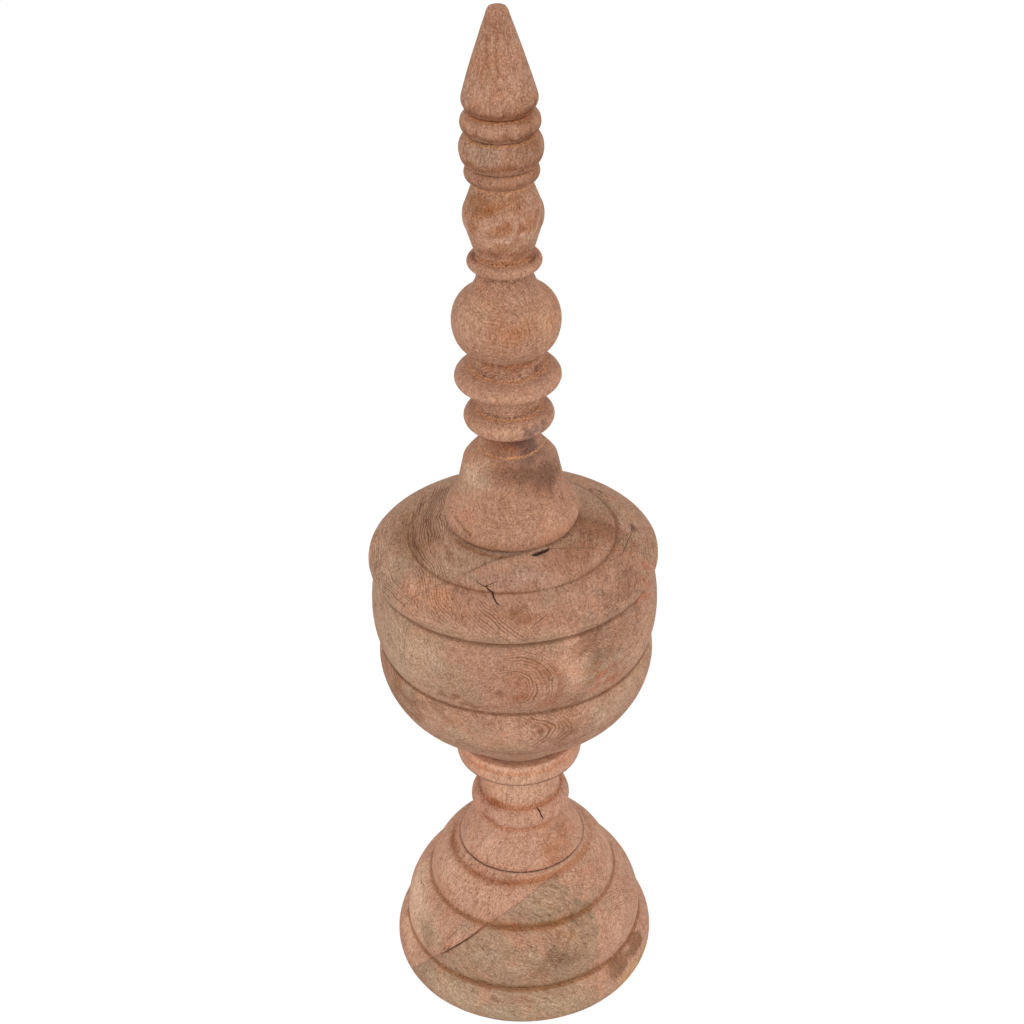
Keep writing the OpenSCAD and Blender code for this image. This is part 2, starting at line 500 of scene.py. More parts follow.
def level(height: float, start: float, end: float) -> tuple[Spot, ...]:
    """A path round the piece at one height, from one angle to another."""
    return ((start, height), (end, height))


@dataclass(frozen=True)
class StainAndPaintedLight(Patch):
    """A soft patch of another colour: mostly stains, and in a few places painted light.

    Args:
        gain: what it multiplies red, green and blue by.
        turn: degrees it is turned, anticlockwise as seen from outside.
        ragged: how far its edge wanders, as a share of its size.
        edge: how sudden its edge is: the power of the distance in the mask.
    """

    gain: Triple
    turn: float = 0.0
    ragged: float = 0.2
    edge: float = 3.0

    def lay(self, on: Turning) -> None:
        """Multiplies the colour by a flat-topped bell curve of the distance in half sizes, bent by
        noise.

        Args:
            on: the turned surface.
        """
        near, offsets = self.offsets(on, self.turn)
        reach = np.linalg.norm(offsets, axis=1)
        size = 1.2 * math.sqrt(self.across * self.along)
        reach += self.ragged * ripple(on.points[near], size, int(self.spot[1] * 7) + 5)
        on.recolour(near, np.exp(-1.4 * np.maximum(reach, 0) ** self.edge), self.gain)


@dataclass(frozen=True)
class Streak(Trace):
    """A soft line of another colour along a path; some streaks are painted shade and painted
    light.

    Args:
        gain: what it multiplies red, green and blue by.
        wander: how far it strays from the path.
    """

    gain: Triple
    wander: float = 0.8

    def lay(self, on: Turning) -> None:
        """Multiplies the colour by a bell curve of the distance, tapered to both ends.

        Args:
            on: the turned surface.
        """
        near, gap, run = self.follow(on)
        gap = gap + self.wander * ripple(on.points[near], 9.0, self.seed(3, 1))
        on.recolour(near, np.exp(-((gap / self.width) ** 2)) * self.taper(run, 6), self.gain)


@dataclass(frozen=True)
class Check(Trace):
    """A drying check or hairline: a dark crack pressed into the surface.

    Args:
        depth: how deep it is.
        wander: how far it strays from the path.
    """

    depth: float
    wander: float = 0.5

    SHOULDER = 0.45  # how much wider than the crack the valley pressed round it is
    CLOSED = 6.0  # distance over half width added where the crack has closed at its ends

    def lay(self, on: Turning) -> None:
        """Presses a narrow valley, and keeps the distance over the width for the finish.

        Args:
            on: the turned surface.
        """
        near, gap, run = self.follow(on)
        gap = gap + self.wander * ripple(on.points[near], 4.5, self.seed(11, 3))
        taper = np.maximum(self.taper(run, 4), 0.01)
        wide = self.width * taper
        closed = self.CLOSED * np.clip(1 - taper * 8, 0, 1)
        scaled = gap / wide + np.sign(gap) * closed
        closer = np.abs(scaled) < np.abs(on.crack[near])
        on.crack[near] = np.where(closer, scaled, on.crack[near])
        on.relief[near] += self.depth * taper * np.exp(-((gap / (wide + self.SHOULDER)) ** 2))


@dataclass(frozen=True)
class Figure(Trace):
    """A band of growth lines that run side by side along a path.

    Args:
        strength: how dark its lines are, from 0 to 1.
        wander: how far the lines stray from the path.
    """

    strength: float = 0.7
    wander: float = 1.0

    def lay(self, on: Turning) -> None:
        """Keeps the distance to the path as the flow, in a flat-topped band round it.

        Args:
            on: the turned surface.
        """
        near, gap, run = self.follow(on)
        flow = gap + self.wander * ripple(on.points[near], 16.0, self.seed(5, 2))
        band = np.exp(-((gap / self.width) ** 4))
        on.draw(near, flow, self.strength * band * self.taper(run, 5))


@dataclass(frozen=True)
class Eye(Patch):
    """Growth lines that bend round a middle on its right, as beside a burl or a branch.

    Args:
        turn: degrees it is turned, anticlockwise as seen from outside.
        strength: how dark its lines are, from 0 to 1.
    """

    turn: float = 0.0
    strength: float = 0.9

    LEFT = 0.1  # share of the strength that is left on the left side

    def lay(self, on: Turning) -> None:
        """Keeps the elliptical distance from the middle as the flow.

        It fades to the left by a logistic curve, outwards by a flat-topped bell curve and
        inwards by a ramp.

        Args:
            on: the turned surface.
        """
        near, offsets = self.offsets(on, self.turn)
        wide, tall, _ = offsets.T
        reach = np.hypot(wide, tall)
        points = on.points[near]
        wander = ripple(points, 22.0, 41) + 0.35 * ripple(points, 9.0, 42)
        side = self.LEFT + (1 - self.LEFT) / (1 + np.exp(-7 * (wide - 0.15)))
        shown = self.strength * np.exp(-(reach**5)) * side * np.clip(5 * reach - 1, 0, 1)
        on.draw(near, reach * self.along + 1.1 * wander, shown)


Mark = StainAndPaintedLight | Streak | Check | Figure | Eye


# ---------------------------------------------------------------------------- shader maths


class Wire:
    """A node's output that takes part in Python expressions, adding Math nodes."""

    def __init__(self, graph: "Graph", socket: bpy.types.NodeSocket) -> None:
        """Keeps the graph and the output socket."""
        self.graph, self.socket = graph, socket

    def _math(self, operation: str, *values: "Wire | float") -> "Wire":
        """Adds a Math node on the given values."""
        inputs = dict(enumerate(values))
        return self.graph.node("ShaderNodeMath", {"operation": operation}, inputs)

    def __add__(self, other: "Wire | float") -> "Wire":
        """self + other."""
        return self._math("ADD", self, other)

    __radd__ = __add__

    def __sub__(self, other: "Wire | float") -> "Wire":
        """self - other."""
        return self._math("SUBTRACT", self, other)

    def __rsub__(self, other: float) -> "Wire":
        """other - self."""
        return self._math("SUBTRACT", other, self)

    def __mul__(self, other: "Wire | float") -> "Wire":
        """self * other."""
        return self._math("MULTIPLY", self, other)

    __rmul__ = __mul__

    def __truediv__(self, other: "Wire | float") -> "Wire":
        """self / other."""
        return self._math("DIVIDE", self, other)

    def __abs__(self) -> "Wire":
        """Size of self, without its sign."""
        return self._math("ABSOLUTE", self)

    def sine(self) -> "Wire":
        """Sine of self, in radians."""
        return self._math("SINE", self)

    def at_least(self, floor: "Wire | float") -> "Wire":
        """The larger of self and floor."""
        return self._math("MAXIMUM", self, floor)

    def step(self, low: float, high: float) -> "Wire":
        """Smooth step from 0 at low to 1 at high.

        Args:
            low: value of self up to which it is 0.
            high: value of self from which it is 1.

        Returns:
            The step.
        """
        settings = {"interpolation_type": "SMOOTHSTEP"}
        inputs = {"Value": self, "From Min": low, "From Max": high}
        return self.graph.node("ShaderNodeMapRange", settings, inputs)


Value = Wire | float
Spread = Wire | Triple


class Graph:
    """The node tree of one material."""

    def __init__(self, name: str) -> None:
        """Makes an empty material of that name.

        Args:
            name: name of the material.
        """
        self.material = bpy.data.materials.new(name)
        self.material.use_nodes = True
        self.nodes = self.material.node_tree.nodes
        self.links = self.material.node_tree.links
        self.nodes.clear()

    def add(self, kind: str, settings: dict, inputs: dict) -> bpy.types.Node:
        """Adds a node.

        Args:
            kind: the node's type.
            settings: its properties, set first.
            inputs: values or wires, by socket name or number.

        Returns:
            The node.
        """
        made = self.nodes.new(kind)
        for key, value in settings.items():
            setattr(made, key, value)
        for key, value in inputs.items():
            socket = made.inputs[key]
            if isinstance(value, Wire):
                self.links.new(value.socket, socket)
            elif socket.type == "RGBA":
                socket.default_value = (*value[:3], 1.0)
            else:
                socket.default_value = value
        return made

    def node(self, kind: str, settings: dict, inputs: dict, output: int | str = 0) -> Wire:
        """Adds a node and gives one of its outputs as a wire."""
        return Wire(self, self.add(kind, settings, inputs).outputs[output])

    def noise(self, at: Wire, scale: float, detail: float = 2.0, rough: float = 0.55) -> Wire:
        """Noise of the given scale, in waves a millimetre, as one value from 0 to 1."""
        inputs = {"Vector": at, "Scale": scale, "Detail": detail, "Roughness": rough}
        return self.node("ShaderNodeTexNoise", {}, inputs, 0)

    def noise_way(self, at: Wire, scale: float) -> Wire:
        """Noise of the given scale as a vector, each part from -0.5 to 0.5.

        Args:
            at: where the noise is read.
            scale: waves a millimetre.

        Returns:
            The vector.
        """
        inputs = {"Vector": at, "Scale": scale, "Detail": 1.0}
        made = self.node("ShaderNodeTexNoise", {}, inputs, 1)
        return self.vector("SUBTRACT", made, (0.5, 0.5, 0.5))

    def vector(self, operation: str, a: Spread, b: Spread | None = None) -> Wire:
        """Adds a Vector Math node on two vectors and gives its vector."""
        inputs = {0: a} if b is None else {0: a, 1: b}
        return self.node("ShaderNodeVectorMath", {"operation": operation}, inputs, 0)

    def scaled(self, a: Spread, factor: Value) -> Wire:
        """The vector a times a number."""
        settings = {"operation": "SCALE"}
        return self.node("ShaderNodeVectorMath", settings, {0: a, "Scale": factor}, 0)

    def measure(self, operation: str, a: Spread, b: Spread | None = None) -> Wire:
        """Adds a Vector Math node, such as a length or a dot product, and gives its value."""
        inputs = {0: a} if b is None else {0: a, 1: b}
        return self.node("ShaderNodeVectorMath", {"operation": operation}, inputs, 1)

    def blend(self, factor: Value, a: Spread, b: Spread, mode: str = "MIX") -> Wire:
        """Mixes colour a with colour b by the factor."""
        settings = {"data_type": "RGBA", "blend_type": mode}
        return self.node("ShaderNodeMix", settings, {0: factor, 6: a, 7: b}, 2)

    def blend_ways(self, factor: Value, a: Spread, b: Spread) -> Wire:
        """Mixes vector a with vector b by the factor."""
        return self.node("ShaderNodeMix", {"data_type": "VECTOR"}, {0: factor, 4: a, 5: b}, 1)

    def grey(self, value: Wire) -> Wire:
        """A vector with the same value three times."""
        return self.node("ShaderNodeCombineXYZ", {}, {0: value, 1: value, 2: value})

    def attribute(self, name: str, output: str) -> Wire:
        """The piece's own attribute of that name."""
        return self.node("ShaderNodeAttribute", {"attribute_name": name}, {}, output)

    def object_mm(self) -> Wire:
        """Object coordinates in millimetres."""
        at = self.node("ShaderNodeTexCoord", {}, {}, "Object")
        return self.scaled(at, 1 / MM)

    def finish(self, shader: bpy.types.Node) -> bpy.types.Material:
        """Links the shader to the material's output and gives the material.

        Args:
            shader: the node whose first output is the surface.

        Returns:
            The material.
        """
        inputs = {"Surface": Wire(self, shader.outputs[0])}
        self.add("ShaderNodeOutputMaterial", {}, inputs)
        return self.material


# ---------------------------------------------------------------------------- wood


@dataclass(frozen=True)
class GlueFace:
    """A flat face that one block is glued to another by.

    Args:
        outward: direction from the face into the block.
        offset: distance of the face from the origin, along that direction.
        ragged: how far the face wanders.
    """

    outward: Triple
    offset: float
    ragged: float = 0.5


@dataclass(frozen=True)
class Block:
    """One of the blocks that a piece's blank is glued up from.

    Args:
        pith: a point on the middle line of its growth rings.
        grain: direction of its fibres.
        light: colour of its early wood.
        dark: colour of its darker fibres.
        faces: its glue faces. The block lies beyond any of them.
        glue: how dark its glue line is.
    """

    pith: Triple
    grain: Triple
    light: Triple
    dark: Triple
    faces: tuple[GlueFace, ...] = ()
    glue: float = 0.4

    def way(self) -> Triple:
        """Unit direction of its fibres."""
        return tuple(Vector(self.grain).normalized())


@dataclass(frozen=True)
class RawWood:
    """Raw turned hardwood: growth rings, fibres, open pores, darker grooves, painted shade under
    wider parts and painted light on the groove ledges.

    Args:
        blocks: the first is the main block, and each later one lies beyond its glue faces.
        late: colour of the growth lines.
        cool: colour of the greyer areas.
        warm: colour of the redder areas.
        groove_and_shade_tone: colour that darkens the grooves and paints the shade under wider
            parts.
        ledge_light: colour of the painted light on the up-facing ledges in the grooves.
        ring_mm: distance between growth lines.
        ring_strength: how much the growth lines show.
        pore: how dark the pores are.
        speckle: how dark the finest specks are.
        fleck: how dark the larger ragged flecks are.
        dash: how dark the short fine lines along the grain are.
        under: how much painted shade darkens the surface where it lies back under a wider part.
        crease: how much the bottoms of the grooves show the painted ledge light.
        cool_share: how much of the surface turns greyer, from 0 to 1.
        groove: how much the grooves and the painted shade under wider parts are darkened.
        seed: shifts the wood's pattern.
    """

    blocks: tuple[Block, ...]
    late: Triple
    cool: Triple
    warm: Triple
    groove_and_shade_tone: Triple
    ledge_light: Triple
    ring_mm: float = 3.4
    ring_strength: float = 0.12
    pore: float = 0.42
    speckle: float = 0.4
    fleck: float = 0.4
    dash: float = 0.36
    under: float = 0.0
    crease: float = 0.1
    cool_share: float = 0.5
    groove: float = 0.8
    seed: float = 0.0

    def pale(self) -> Triple:
        """Colour of the crests, where handling keeps the wood clean: the early wood, lighter."""
        return tuple(min(1.0, c * 1.16) for c in self.blocks[0].light)

    def seam_tone(self) -> Triple:
        """Colour of a glue line: the darker fibres, darker still."""
        return tuple(c * 0.55 for c in self.blocks[0].dark)


@dataclass(frozen=True)
class Pattern:
    """Noise sharpened by a smooth step.

    Args:
        scale: its scale, in waves a millimetre.
        detail: how many finer layers it has.
        rough: how strong they are.
        low: noise value at which the pattern starts.
        high: noise value at which it is full.
    """

    scale: float
    detail: float
    rough: float
    low: float
    high: float


class WoodGraph(Graph):
    """The node tree of one raw wood.

    Rings are cylinders round the pith line, bent by slow noise. Fibres, pores and dashes are
    noise in a space squeezed along the grain. The tint, the grooves' cavity and ledges, the
    places under wider parts, the figures and the cracks come from the mesh's attributes.
    """

    FIBRE_STRETCH = 14.0  # how much longer than wide the fibres are
    PORE_STRETCH = 3.6  # how much longer than wide the pores are
    DASH_STRETCH = 7.0  # how much longer than wide the short fine lines are
    FIBRE = Pattern(0.42, 3.0, 0.65, 0.32, 0.68)  # bundles of fibres
    PORES = Pattern(1.0, 2.0, 0.7, 0.53, 0.64)  # open pores
    DASHES = Pattern(1.35, 2.0, 0.75, 0.53, 0.62)  # short fine lines along the grain
    SPECKS = Pattern(0.85, 4.0, 0.9, 0.45, 0.58)  # the finest specks
    FLECKS = Pattern(0.12, 5.0, 0.72, 0.48, 0.64)  # larger ragged flecks
    WARMTH = Pattern(0.05, 4.0, 0.65, 0.5, 0.66)  # redder areas
    SHOWING = Pattern(0.03, 1.0, 0.55, 0.45, 0.68)  # areas where the rings show
    BREAKS = Pattern(0.7, 2.0, 0.6, 0.36, 0.62)  # strong and weak stretches of flow lines
    BENDS = ((0.013, 26.0), (0.05, 3.0))  # scale and size of what bends the rings
    SEAM_BLUR = 0.2  # half the width over which one block gives way to the next
    SEAM_WIDTH = 0.5  # half the width of a glue line
    FLOW_WAVES = 3.9  # radians a millimetre of the growth lines in a figure
    BROWN = (0.48, 0.34, 0.23)  # what specks and flecks multiply the colour by
    DASH_BROWN = (0.42, 0.28, 0.18)  # what the short fine lines multiply it by
    PORE_BROWN = (0.45, 0.33, 0.26)  # what the pores multiply it by
    CRACK_DARK = (38, 24, 18)  # screen colour of an open crack
    BRIGHTNESS = 1.34  # gain that sets the whole finish against the studio's light
    LATHE_GAIN = 0.24  # how much the lathe's fine rings change it
    BUMP_M = 0.0005  # depth of the bump

    def __init__(self, name: str, wood: RawWood) -> None:
        """Makes the material and the coordinates that its patterns share.

        Args:
            name: name of the material.
            wood: the finish.
        """
        super().__init__(name)
        self.wood = wood
        self.place = self.object_mm()
        self.moved = self.vector("ADD", self.place, (wood.seed * 31.0, wood.seed * 17.0, 0.0))
        pith, self.grain = self._glue_up()
        bent = self.place
        for scale, size in self.BENDS:
            bent = self.vector("ADD", bent, self.scaled(self.noise_way(self.moved, scale), size))
        across = self.vector("SUBTRACT", bent, pith)
        self.along = self.measure("DOT_PRODUCT", across, self.grain)
        self.radial = self.vector("SUBTRACT", across, self.scaled(self.grain, self.along))

    def _glue_up(self) -> tuple[Spread, Spread]:
        """Joins the blocks, and keeps their light and dark colours and the glue lines.

        Each later block takes over beyond its glue faces: where the greatest distance past
        any of them is positive.

        Returns:
            The pith point and the direction of the fibres.
        """
        main = self.wood.blocks[0]
        pith, grain = main.pith, main.way()
        self.light, self.dark, self.seam = main.light, main.dark, 0.0
        for block in self.wood.blocks[1:]:
            wander = self.noise(self.moved, 0.16, 3.0) - 0.5
            past = [
                self.measure("DOT_PRODUCT", self.place, face.outward)
                - face.offset
                + wander * (2 * face.ragged)
                for face in block.faces
            ]
            beyond = reduce(Wire.at_least, past)
            side = beyond.step(-self.SEAM_BLUR, self.SEAM_BLUR)
            pith = self.blend_ways(side, pith, block.pith)
            grain = self.blend_ways(side, grain, block.way())
            self.light = self.blend(side, self.light, block.light)
            self.dark = self.blend(side, self.dark, block.dark)
            line = 1 - abs(beyond).step(0.0, self.SEAM_WIDTH)
            self.seam = self.seam * (1 - side) + line * block.glue
        return pith, grain

    def _pattern(self, at: Wire, pattern: Pattern) -> Wire:
        """The pattern at some coordinates, from 0 to 1."""
        noise = self.noise(at, pattern.scale, pattern.detail, pattern.rough)
        return noise.step(pattern.low, pattern.high)

    def _squeezed(self, stretch: float) -> Wire:
        """The wood's own space, squeezed along the grain: radial + grain * along / stretch."""
        return self.vector("ADD", self.radial, self.scaled(self.grain, self.along / stretch))

    def _growth_lines(self) -> tuple[Wire, Wire]:
        """Lines of the rings, and of the figures that the mesh's flow draws.

        A ring line is the sine of the distance from the pith, and a flow line that of the
        flow, each shifted by slow noise and sharpened by a step.

        Returns:
            The ring lines, and the flow lines at full strength.
        """
        distance = self.measure("LENGTH", self.radial)
        phase = distance / self.wood.ring_mm + self.noise(self.moved, 0.05) * 1.6
        showing = self._pattern(self.moved, self.SHOWING) * self.wood.ring_strength
        ring_line = ((phase * (2 * math.pi)).sine() * 0.5 + 0.5).step(0.35, 1.0) * showing
        flow = self.attribute("flow", "Fac")
        shift = self.noise(self.moved, 0.07, 2.0) * 4.0
        wave = (flow * self.FLOW_WAVES + shift).sine().step(-0.5, 0.9)
        flow_at = self.vector("ADD", self.scaled(self.place, 0.05), self.grey(flow * 0.5))
        return ring_line, wave * (self._pattern(flow_at, self.BREAKS) * 0.8 + 0.2)

    def _bare(self, hair: Wire, figure: Wire, ring_line: Wire, flow_line: Wire) -> Wire:
        """Colour of the clean wood: fibres, cooler and warmer areas, tint with its stains and
        painted light and shade, growth lines.

        Args:
            hair: noise of the finest fibres.
            figure: strength of the figures.
            ring_line: lines of the rings.
            flow_line: lines of the figures.

        Returns:
            The colour.
        """
        wood = self.wood
        fibre = self._pattern(self._squeezed(self.FIBRE_STRETCH), self.FIBRE)
        cloud = self.noise(self.moved, 0.034, 4.0, 0.65)
        away = self.vector("ADD", self.moved, (90.0, 40.0, 10.0))
        warmth = self._pattern(away, self.WARMTH)
        coolness = cloud.step(0.62 - 0.3 * wood.cool_share, 0.72)
        colour = self.blend(fibre * 0.5 + (hair - 0.5) * 0.9 + 0.06, self.light, self.dark)
        colour = self.blend(coolness * 0.7, colour, wood.cool)
        colour = self.blend(warmth * 0.5, colour, wood.warm)
        # the tint holds the stains and the painted light and shade that the marks lay
        colour = self.blend(1.0, colour, self.attribute("tint", "Color"), "MULTIPLY")
        colour = self.blend((figure - flow_line) * 0.35, colour, wood.pale())
        return self.blend((ring_line + flow_line).at_least(0.0), colour, wood.late)

    def _wear_and_painted_light(self, colour: Wire, speck: Wire) -> tuple[Wire, Wire]:
        """Lightens the crests as wear, paints light on the up-facing ledges and groove bottoms,
        darkens the grooves, and paints shade under wider parts.

        Args:
            colour: the clean wood.
            speck: the finest specks, which break up the darkening and the painted light.

        Returns:
            The colour, and how dark the grooves and the painted shade make it.
        """
        wood = self.wood
        cavity = self.attribute("cavity", "Fac")
        ledge = self.attribute("ledge", "Fac").step(0.2, 0.6)
        # painted shade: places that lie back under a wider part and face level or down
        under = self.attribute("under", "Fac") * wood.under
        colour = self.blend((0 - cavity).step(0.25, 1.4) * 0.2, colour, wood.pale())
        # painted light: the up-facing ledges in the grooves take the ledge colour, broken by
        # specks
        colour = self.blend(ledge * (0.75 - speck * 0.5), colour, wood.ledge_light)
        # the grooves darken by their depth, and the places under wider parts take the painted
        # shade
        groove_and_shade_dark = (cavity.step(0.2, 0.9) + under) * (speck * 0.85 + 0.15) * (1 - ledge * 0.75)
        colour = self.blend(groove_and_shade_dark * wood.groove, colour, wood.groove_and_shade_tone)
        # painted light: the bottoms of the deepest grooves take the ledge colour too
        crease = cavity.step(0.7, 1.5) * (0.7 - speck * 0.5) * wood.crease
        return self.blend(crease, colour, wood.ledge_light), groove_and_shade_dark

    def build(self) -> bpy.types.Material:
        """Lays the finish over the patterns, from the clean wood to its cracks.

        Returns:
            The material.
        """
        wood = self.wood
        ring_line, wave = self._growth_lines()
        figure = self.attribute("figure", "Fac")
        flow_line = wave * figure
        hair = self.noise(self._squeezed(self.FIBRE_STRETCH), 1.6, 2.0, 0.7)
        pit = self._pattern(self._squeezed(self.PORE_STRETCH), self.PORES)
        dash = self._pattern(self._squeezed(self.DASH_STRETCH), self.DASHES)
        speck = self._pattern(self.place, self.SPECKS)
        fleck = self._pattern(self.vector("ADD", self.place, (70.0, 0.0, 0.0)), self.FLECKS)
        flat = self.vector("MULTIPLY", self.place, (0.03, 0.03, 1.0))
        lathe = self.noise(flat, 1.1, 2.0, 0.6)

        colour = self._bare(hair, figure, ring_line, flow_line)
        colour, groove_and_shade_dark = self._wear_and_painted_light(colour, speck)
        browned = speck * wood.speckle + fleck * (speck * 0.6 + 0.25) * wood.fleck
        colour = self.blend(browned, colour, self.BROWN, "MULTIPLY")
        colour = self.blend(dash * wood.dash, colour, self.DASH_BROWN, "MULTIPLY")
        colour = self.blend(pit * wood.pore, colour, self.PORE_BROWN, "MULTIPLY")
        colour = self.scaled(colour, (lathe - 0.5) * self.LATHE_GAIN + self.BRIGHTNESS)
        colour = self.blend(self.seam, colour, wood.seam_tone())
        crack = 1 - abs(self.attribute("crack", "Fac")).step(0.55, 1.25)
        colour = self.blend(crack * 0.92, colour, tone(*self.CRACK_DARK))

        height = hair * 0.3 + lathe * 0.3 - pit * 0.55 - speck * 0.35 - flow_line * 0.4
        bump = {"Height": height, "Strength": 0.8, "Distance": self.BUMP_M}
        inputs = {
            "Base Color": colour,
            "Roughness": 0.74 + pit * 0.12 + groove_and_shade_dark * 0.08,
            "Specular IOR Level": 0.28,
            "Normal": self.node("ShaderNodeBump", {}, bump),
        }
        return self.finish(self.add("ShaderNodeBsdfPrincipled", {}, inputs))


# ---------------------------------------------------------------------------- pieces


@dataclass
class TurnedPiece:
    """One turned piece of the finial, which stands for a CAD node.

    Args:
        node: the CAD node.
        slot: the record's material slot; not used.
        base_z: height of its flat underside.
        spacing: distance between samples up its outline.
        columns: samples round it.
    """

    node: str = ""
    slot: str = ""
    base_z: float = 0.0
    spacing: float = 0.8
    columns: int = 400

    SANDED = 0.12  # how far the surface lies inside its solid on average
    WAVES = ((0.07, 38.0, 11), (0.03, 7.0, 12))  # depth, length and seed of its unevenness
    EASE_H = 0.9  # height of the eased edge over a joint
    EASE_DEPTH = 0.55  # how far that edge is eased

    def bottom_d(self) -> float:
        """Diameter of the flat underneath."""
        raise NotImplementedError

    def courses(self) -> list[Course]:
        """The courses of its side, from the bottom up."""
        raise NotImplementedError

    def marks(self) -> list[Mark]:
        """The marks on its surface."""
        raise NotImplementedError

    def finish(self) -> RawWood:
        """Its wood."""
        raise NotImplementedError

    def build(self) -> bpy.types.Object:
        """Builds the piece and dresses it.

        The surface is the outline of revolution, pressed in by its marks, by a lathe's slight
        unevenness, and by the eased edge over its joint.

        Returns:
            The object, riding on the root body in place of the CAD node.
        """
        shape = Turning(
            self.bottom_d(), self.base_z, self.courses(), self.spacing, self.columns
        )
        for mark in self.marks():
            mark.lay(shape)
        waves = [depth * ripple(shape.points, length, seed) for depth, length, seed in self.WAVES]
        uneven = np.clip(self.SANDED + sum(waves), 0, 1)
        over = (shape.points[:, 2] - self.base_z) / self.EASE_H
        eased = self.EASE_DEPTH * np.clip(1 - over, 0, 1) * (self.base_z > 0)
        shape.relief = (shape.relief + uneven + eased) * shape.spread(shape.side_share())
        name = "turned_" + self.node
        made = bpy.data.objects.new(name, shape.mesh(name))
        bpy.context.scene.collection.objects.link(made)
        made.data.materials.append(WoodGraph(self.node + "_raw_wood", self.finish()).build())
        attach(made, "root")
        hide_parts(self.node)
        LOG.info("%s: %d faces", name, len(made.data.polygons))
        return made


GLUED_PINK = Block((30.0, 60.0, 0.0), (0.25, 0.2, 1.0), tone(206, 160, 134), tone(176, 124, 97))


